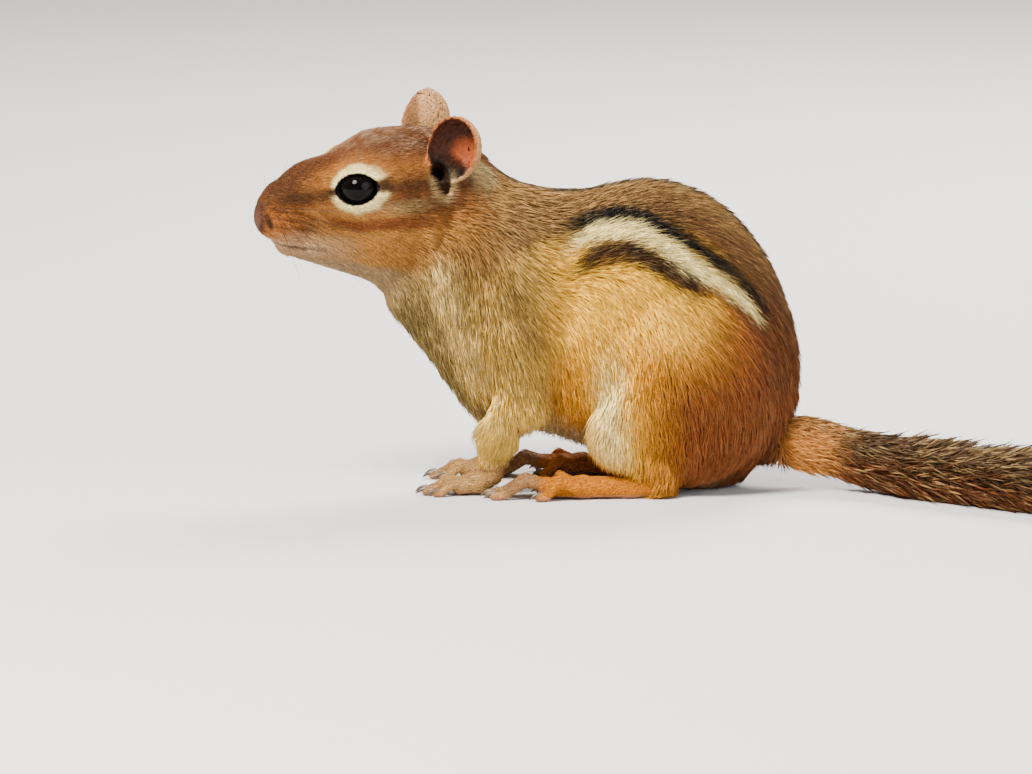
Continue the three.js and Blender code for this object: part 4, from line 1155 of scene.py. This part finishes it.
def coat_tree():
    """Lays one piece of the coat on the skin, from named sizes that the skin carries."""
    tree = bpy.data.node_groups.new("lay_coat", "GeometryNodeTree")
    for name, kind in (
        ("Skin", "Geometry"), ("Piece", "Int"), ("Share", "Float"), ("Stray", "Float"), ("Seed", "Int"),
        ("Tufts", "Collection"), ("Finish", "Material"),
    ):
        tree.interface.new_socket(name, in_out="INPUT", socket_type=f"NodeSocket{kind}")
    coat = tree.interface.new_socket("Coat", in_out="OUTPUT", socket_type="NodeSocketGeometry")
    graph = Graph(tree)
    entry = tree.nodes.new("NodeGroupInput")
    given = {socket.name: Wire(graph, socket) for socket in entry.outputs if socket.name}

    def step(kind, sockets, settings=None, out=0):
        return graph.node(f"GeometryNode{kind}", settings, sockets, out)

    def vector(operation, *values):
        sockets = dict(zip(("Vector", "Vector_001", "Vector_002"), values))
        return graph.node("ShaderNodeVectorMath", {"operation": operation}, sockets)

    def carried(name, kind="FLOAT"):
        return step("InputNamedAttribute", {"Name": name}, {"data_type": kind})

    def drawn(kind, low, high, seed):
        """A value of this kind for each tuft, at random from low to high."""
        end = {"FLOAT": "_001", "INT": "_002", "FLOAT_VECTOR": ""}[kind]
        sockets = {f"Min{end}": low, f"Max{end}": high, "Seed": given["Seed"] + seed}
        return graph.node("FunctionNodeRandomValue", {"data_type": kind}, sockets, f"Value{end}")

    def kept(geometry, name, value, domain, kind="FLOAT"):
        sockets = {"Geometry": geometry, "Name": name, "Value": value}
        return step("StoreNamedAttribute", sockets, {"data_type": kind, "domain": domain})

    here = graph.node(
        "FunctionNodeCompare", {"data_type": "INT", "operation": "EQUAL"},
        {"A_INT": carried("region", "INT"), "B_INT": given["Piece"]},
    )
    density = carried("cover") * given["Share"]
    spread = {"Mesh": given["Skin"], "Selection": here, "Density": density, "Seed": given["Seed"]}
    roots = step("DistributePointsOnFaces", spread)
    normal = Wire(graph, roots.socket.node.outputs["Normal"])
    roots = kept(roots, "root_place", carried("OFBake", "FLOAT_VECTOR"), "POINT", "FLOAT_VECTOR")
    wild = {"Vector": drawn("FLOAT_VECTOR", (-1, -1, -1), (1, 1, 1), 11), "Scale": given["Stray"]}
    wild = graph.node("ShaderNodeVectorMath", {"operation": "SCALE"}, wild)
    lie = vector("ADD", carried("lie", "FLOAT_VECTOR"), wild)
    turn = graph.node(
        "FunctionNodeAxesToRotation", {"primary_axis": "Z", "secondary_axis": "X"},
        {"Primary Axis": normal, "Secondary Axis": lie},
    )
    length = carried("reach") * drawn("FLOAT", 0.72, 1.12, 3)
    width = carried("girth") * drawn("FLOAT", 0.35, 0.62, 4)
    rise = length * carried("lift") * drawn("FLOAT", 0.55, 1.4, 5)
    kinds = {"Collection": given["Tufts"], "Separate Children": True, "Reset Children": True}
    laid = step("InstanceOnPoints", {
        "Points": roots, "Instance": step("CollectionInfo", kinds), "Pick Instance": True,
        "Instance Index": drawn("INT", 0, 99, 6), "Rotation": turn,
        "Scale": graph.node("ShaderNodeCombineXYZ", {}, {"X": length, "Y": width, "Z": rise}),
    })
    laid = kept(laid, "tint", drawn("FLOAT", 0.0, 1.0, 7), "INSTANCE")
    laid = step("RealizeInstances", {"Geometry": laid})
    height = graph.node("ShaderNodeSeparateXYZ", {}, {"Vector": step("InputPosition", {})}, "Z")
    lowest = graph.maths("MULTIPLY_ADD", carried("tint"), FLOOR_LAYER, FLOOR_LAYER / 4)
    offset = graph.node("ShaderNodeCombineXYZ", {}, {"Z": graph.maths("MAXIMUM", lowest - height, 0.0)})
    laid = step("SetPosition", {"Geometry": laid, "Offset": offset})
    root_place = carried("root_place", "FLOAT_VECTOR")
    patch = vector("MULTIPLY_ADD", carried("patch", "FLOAT_VECTOR"), (PATCH, PATCH, 0), root_place)
    laid = kept(laid, "OFBake", patch, "CORNER", "FLOAT2")
    for name in ("lie", "reach", "lift", "girth", "cover", "bare", "region", "patch", "root_place"):
        laid = step("RemoveAttribute", {"Geometry": laid, "Name": name})
    laid = step("SetMaterial", {"Geometry": laid, "Material": given["Finish"]})
    graph.node("NodeGroupOutput", {}, {coat.identifier: laid})
    return tree


def laid_coat(skin_piece, tree, number, finish, kinds):
    """One coat piece, as a plain mesh of tufts."""
    name = COAT_PIECES[number]
    piece = bpy.data.objects.new(name, skin_piece.data)
    bpy.context.scene.collection.objects.link(piece)
    layer = piece.modifiers.new("coat", "NODES")
    layer.node_group = tree
    values = {
        "Piece": number, "Share": SHARE_OF_TUFTS, "Stray": STRAY.get(name, USUAL_STRAY), "Seed": 40 + number,
        "Tufts": kinds, "Finish": finish,
    }
    for item in tree.interface.items_tree:
        if item.name in values and item.in_out == "INPUT":
            layer[item.identifier] = values[item.name]
    return baked(piece)


def short_tuft(name, lean):
    """A straight little tuft of four faces for the face and feet."""
    points = [(0, -1.0, -0.1), (0, 1.0, -0.1), (0, 0, 0.35), (1.0, lean, 1.0)]
    faces = [(0, 2, 1), (0, 1, 3), (1, 2, 3), (2, 0, 3)]
    return tuft_object(name, points, faces, [0, 1, 0.5, 0.5])


def long_tuft(name, lean, bow):
    """A bent tuft of ten triangles: three-sided, widest in the middle, along +X and rising along +Z."""
    points, sides = [], []
    for t, half in ((0.0, 0.62), (0.48, 1.0)):
        rise = bow * t + (1 - bow) * (1 - (1 - t) ** 2)
        for y, z in ((-half, -0.05), (half, -0.05), (0, 0.1)):
            points.append((t, y + lean * t * t, rise + z))
            sides.append(0.5 + y / 2)
    points.append((1.0, lean, 1.0))
    faces = [(0, 2, 1)]
    for k in range(3):
        n = (k + 1) % 3
        faces += [(k, n, 3 + n, 3 + k), (3 + k, 3 + n, 6)]
    return tuft_object(name, points, faces, [*sides, 0.5])


def tuft_object(name, points, faces, sides):
    mesh = bpy.data.meshes.new(name)
    mesh.from_pydata(points, [], faces)
    mesh.shade_smooth()
    store(mesh, "along", "FLOAT", "POINT", [p[0] for p in points])
    places = [(p[0] - 0.5, s - 0.5, 0) for p, s in zip(points, sides)]
    store(mesh, "patch", "FLOAT_VECTOR", "POINT", places)
    return bpy.data.objects.new(name, mesh)


def tufts(name, members):
    group = bpy.data.collections.new(name)
    for member in members:
        group.objects.link(member)
    return group


def closed_faces(rings, sides):
    """The faces of a closed form: a point, rings of points and a last point."""
    faces = []
    for k in range(sides):
        n = (k + 1) % sides
        faces.append((0, 1 + n, 1 + k))
        for a in range(1, 1 + (rings - 1) * sides, sides):
            faces.append((a + k, a + n, a + sides + n, a + sides + k))
        a = 1 + (rings - 1) * sides
        faces.append((a + k, a + n, 1 + rings * sides))
    return faces


def swept(path, radii, sides=6, flat=1.0):
    """A closed tapered tube along a path of points: its points, faces, and each point's share of the way."""
    path = np.array(path, float)
    ahead = np.gradient(path, axis=0)
    ahead /= np.linalg.norm(ahead, axis=1)[:, None]
    points, along = [path[0]], [0.0]
    for i, (at, way, radius) in enumerate(zip(path, ahead, radii)):
        across = np.cross([0, 0, 1.0], way)
        across /= np.linalg.norm(across)
        rise = np.cross(way, across)
        for k in range(sides):
            turn = 2 * math.pi * k / sides
            points.append(at + radius * (math.cos(turn) * across + flat * math.sin(turn) * rise))
            along.append(i / (len(path) - 1))
    return [*points, path[-1]], closed_faces(len(path), sides), [*along, 1.0]


def joined(name, shapes, finish):
    points, faces, along = [], [], []
    for p, f, a in shapes:
        start = len(points)
        points += list(p)
        faces += [tuple(start + i for i in face) for face in f]
        along += list(a)
    piece = mesh_object(name, points, faces)
    store(piece.data, "along", "FLOAT", "POINT", along)
    piece.data.materials.append(finish)
    return piece


def claw_shape(root, heading, length, radius):
    """A curved claw on the end of a toe, from inside the toe's tip down to the ground."""
    way = np.array([-math.cos(heading), math.sin(heading), 0])
    top = radius * 0.95
    path, radii = [], []
    for t in np.linspace(0, 1, 9):
        arch = CLAW_ARCH * math.sin(math.pi * min(t * 0.85 + 0.1, 1))
        height = top + arch - (top - CLAW_TIP) * t**1.6
        path.append(root * [1, 1, 0] + way * (length - 0.5 + CLAW_LENGTH * t) + [0, 0, height])
        radii.append(0.56 * (1 - t) ** 0.75 + 0.05)
    return swept(path, radii, 8, 1.25)


def eyeball(side):
    """An eyeball with a slight cornea, seen dark; ring marks the iris round the pupil."""
    look, centre = EYE_LOOK * [1, side, 1], EYE_CENTRE * [1, side, 1]
    across = np.cross([0, 0, 1], look)
    across /= np.linalg.norm(across)
    rise = np.cross(look, across)
    points, ring, rows, sides = [], [], 40, 56
    for i in range(rows + 1):
        polar = math.pi * i / rows
        radius = EYE_RADIUS - EYE_SUNK + CORNEA * smooth(0.75, 0.2, polar)
        for k in range(1 if i in (0, rows) else sides):
            turn = 2 * math.pi * k / sides
            flat = math.sin(polar) * (math.cos(turn) * across + math.sin(turn) * rise)
            points.append(centre + radius * (math.cos(polar) * look + flat))
            ring.append(float(smooth(0.42, 0.5, polar) * (1 - smooth(0.9, 1.0, polar))))
    faces = [face[:1] + face[:0:-1] for face in closed_faces(rows - 1, sides)]
    return from_head(points), faces if side > 0 else [face[::-1] for face in faces], ring


def whisker(start, way, length, droop, seed):
    rng = np.random.default_rng(seed)
    way = np.array(way) / np.linalg.norm(way)
    bend = rng.normal(size=3) * 0.05
    path, radii = [], []
    for t in np.linspace(0, 1, 10):
        path.append(start + way * length * t + (np.array([0, 0, -droop]) + bend * length) * t**2)
        radii.append(0.065 * (1 - t) + 0.015)
    return swept(path, radii, 4)


def whiskers():
    """Four rows of bristles on each side of the muzzle."""
    shapes = []
    rng = np.random.default_rng(21)
    for side in SIDES.values():
        for row in range(4):
            for k in range(4 if row in (1, 2) else 3):
                x, z = -33.6 + 2.1 * k + 0.5 * row, 0.2 - 1.5 * row
                start = surface_from((x, 0, z), (0, 1, 0)) - [0, 0.5, 0]
                way = np.array([0.12 + 0.22 * k, 1.0, 0.28 - 0.24 * row])
                length = rng.uniform(13, 17) + 3.6 * k
                spot = from_head([start * [1, side, 1]])[0]
                heading = way * [1, side, 1] @ HEAD_TURN.T
                droop = rng.uniform(1.0, 3.5)
                shapes.append(whisker(spot, heading, length, droop, 100 * row + 10 * k + 1 + side))
    return shapes


def area_light(name, place, size, power, colour):
    lamp = bpy.data.lights.new(name, "AREA")
    lamp.shape, lamp.size, lamp.energy, lamp.color = "DISK", size, power, colour
    stand = bpy.data.objects.new(name, lamp)
    stand.location = metres([place])[0]
    aim = metres([VIEW_CENTRE])[0] - stand.location
    stand.rotation_euler = Vector(aim).to_track_quat("-Z", "Y").to_euler()
    bpy.context.scene.collection.objects.link(stand)


# Camera: it stands well back on the animal's left and looks slightly down
VIEW_CENTRE = (-22.3, 0, 21.6)
VIEW_DOWN = math.radians(8)
VIEW_DISTANCE = 2600
VIEW_WIDTH = 222
SENSOR = 36
FLOOR_REACH = 2500


def set_stage():
    corners = [(x * FLOOR_REACH, y * FLOOR_REACH, 0) for x, y in ((-1, -1), (1, -1), (1, 1), (-1, 1))]
    floor = mesh_object("floor", corners, [(0, 1, 2, 3)], False)
    floor.data.materials.append(floor_finish())
    area_light("key", (-420, -560, 800), 0.45, 34, (1.0, 0.96, 0.9))
    area_light("fill", (560, -560, 300), 0.7, 5, (0.93, 0.96, 1.0))
    area_light("rim", (260, 640, 620), 0.5, 16, (1.0, 0.98, 0.95))
    world = bpy.data.worlds.new("studio")
    world.use_nodes = True
    sky = world.node_tree.nodes["Background"].inputs
    sky["Color"].default_value = (0.86, 0.88, 0.9, 1)
    sky["Strength"].default_value = 0.42
    bpy.context.scene.world = world
    lens = bpy.data.cameras.new("photo_view")
    lens.sensor_width = SENSOR
    lens.lens = SENSOR * VIEW_DISTANCE / VIEW_WIDTH
    lens.clip_end = 20
    eye = bpy.data.objects.new("photo_view", lens)
    looking = Vector((0, math.cos(VIEW_DOWN), -math.sin(VIEW_DOWN)))
    eye.location = Vector(metres([VIEW_CENTRE])[0]) - looking * VIEW_DISTANCE / 1000
    eye.rotation_euler = looking.to_track_quat("-Z", "Y").to_euler()
    bpy.context.scene.collection.objects.link(eye)
    bpy.context.scene.camera = eye


# The animal
ROOT = next(iter(frame["bodies"]))
FLESH_NODES = ["head", "neck", "torso", "tail_root", "tail_brush"]
FLESH_NODES += [f"{form}_{side}" for side in SIDES for form in (
    "ear", "thigh", "shank", "upper_arm", "forearm", "hind_foot", "fore_paw"
)]


def fitted(piece, slot, *nodes):
    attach(piece, ROOT)
    if nodes:
        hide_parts(*nodes)


skin_piece = skin()
unwrapped(skin_piece)
dress(skin_piece)
skin_piece.data.materials.append(skin_finish())
fitted(skin_piece, "coat", *FLESH_NODES)

long_kinds = tufts("long_tufts", [
    long_tuft(f"long_{i}", lean, bow)
    for i, (lean, bow) in enumerate([(-4, 0.3), (-1.5, 0.5), (0, 0.2), (2, 0.6), (4.5, 0.35)])
])
short_leans = enumerate([-1.6, -0.5, 0.6, 1.8])
short_kinds = tufts("short_tufts", [short_tuft(f"short_{i}", lean) for i, lean in short_leans])
tree = coat_tree()
fur = fur_finish()
for number, name in enumerate(COAT_PIECES):
    kinds = short_kinds if name in SHORT_COAT else long_kinds
    fitted(laid_coat(skin_piece, tree, number, fur, kinds), "coat")

for side_name, side in SIDES.items():
    points, faces, ring = eyeball(side)
    eye = mesh_object(f"eyeball_{side_name}", points, faces)
    store(eye.data, "ring", "FLOAT", "POINT", ring)
    eye.data.materials.append(eye_finish())
    fitted(eye, "eye", f"eye_{side_name}")
    shapes = [claw_shape(*toe[:4]) for toe in hind_toes(side) + fore_toes(side)]
    claws = joined(f"claws_{side_name}", shapes, claw_finish())
    toes = [f"hind_claw_{side_name}_{i}" for i in range(1, 6)]
    toes += [f"fore_claw_{side_name}_{i}" for i in range(1, 5)]
    fitted(claws, "claw", *toes)
bristles = joined("whiskers", whiskers(), whisker_finish())
fitted(bristles, "coat")

for leftover in [*long_kinds.objects, *short_kinds.objects]:
    bpy.data.objects.remove(leftover)
set_stage()

bpy.context.view_layer.update()
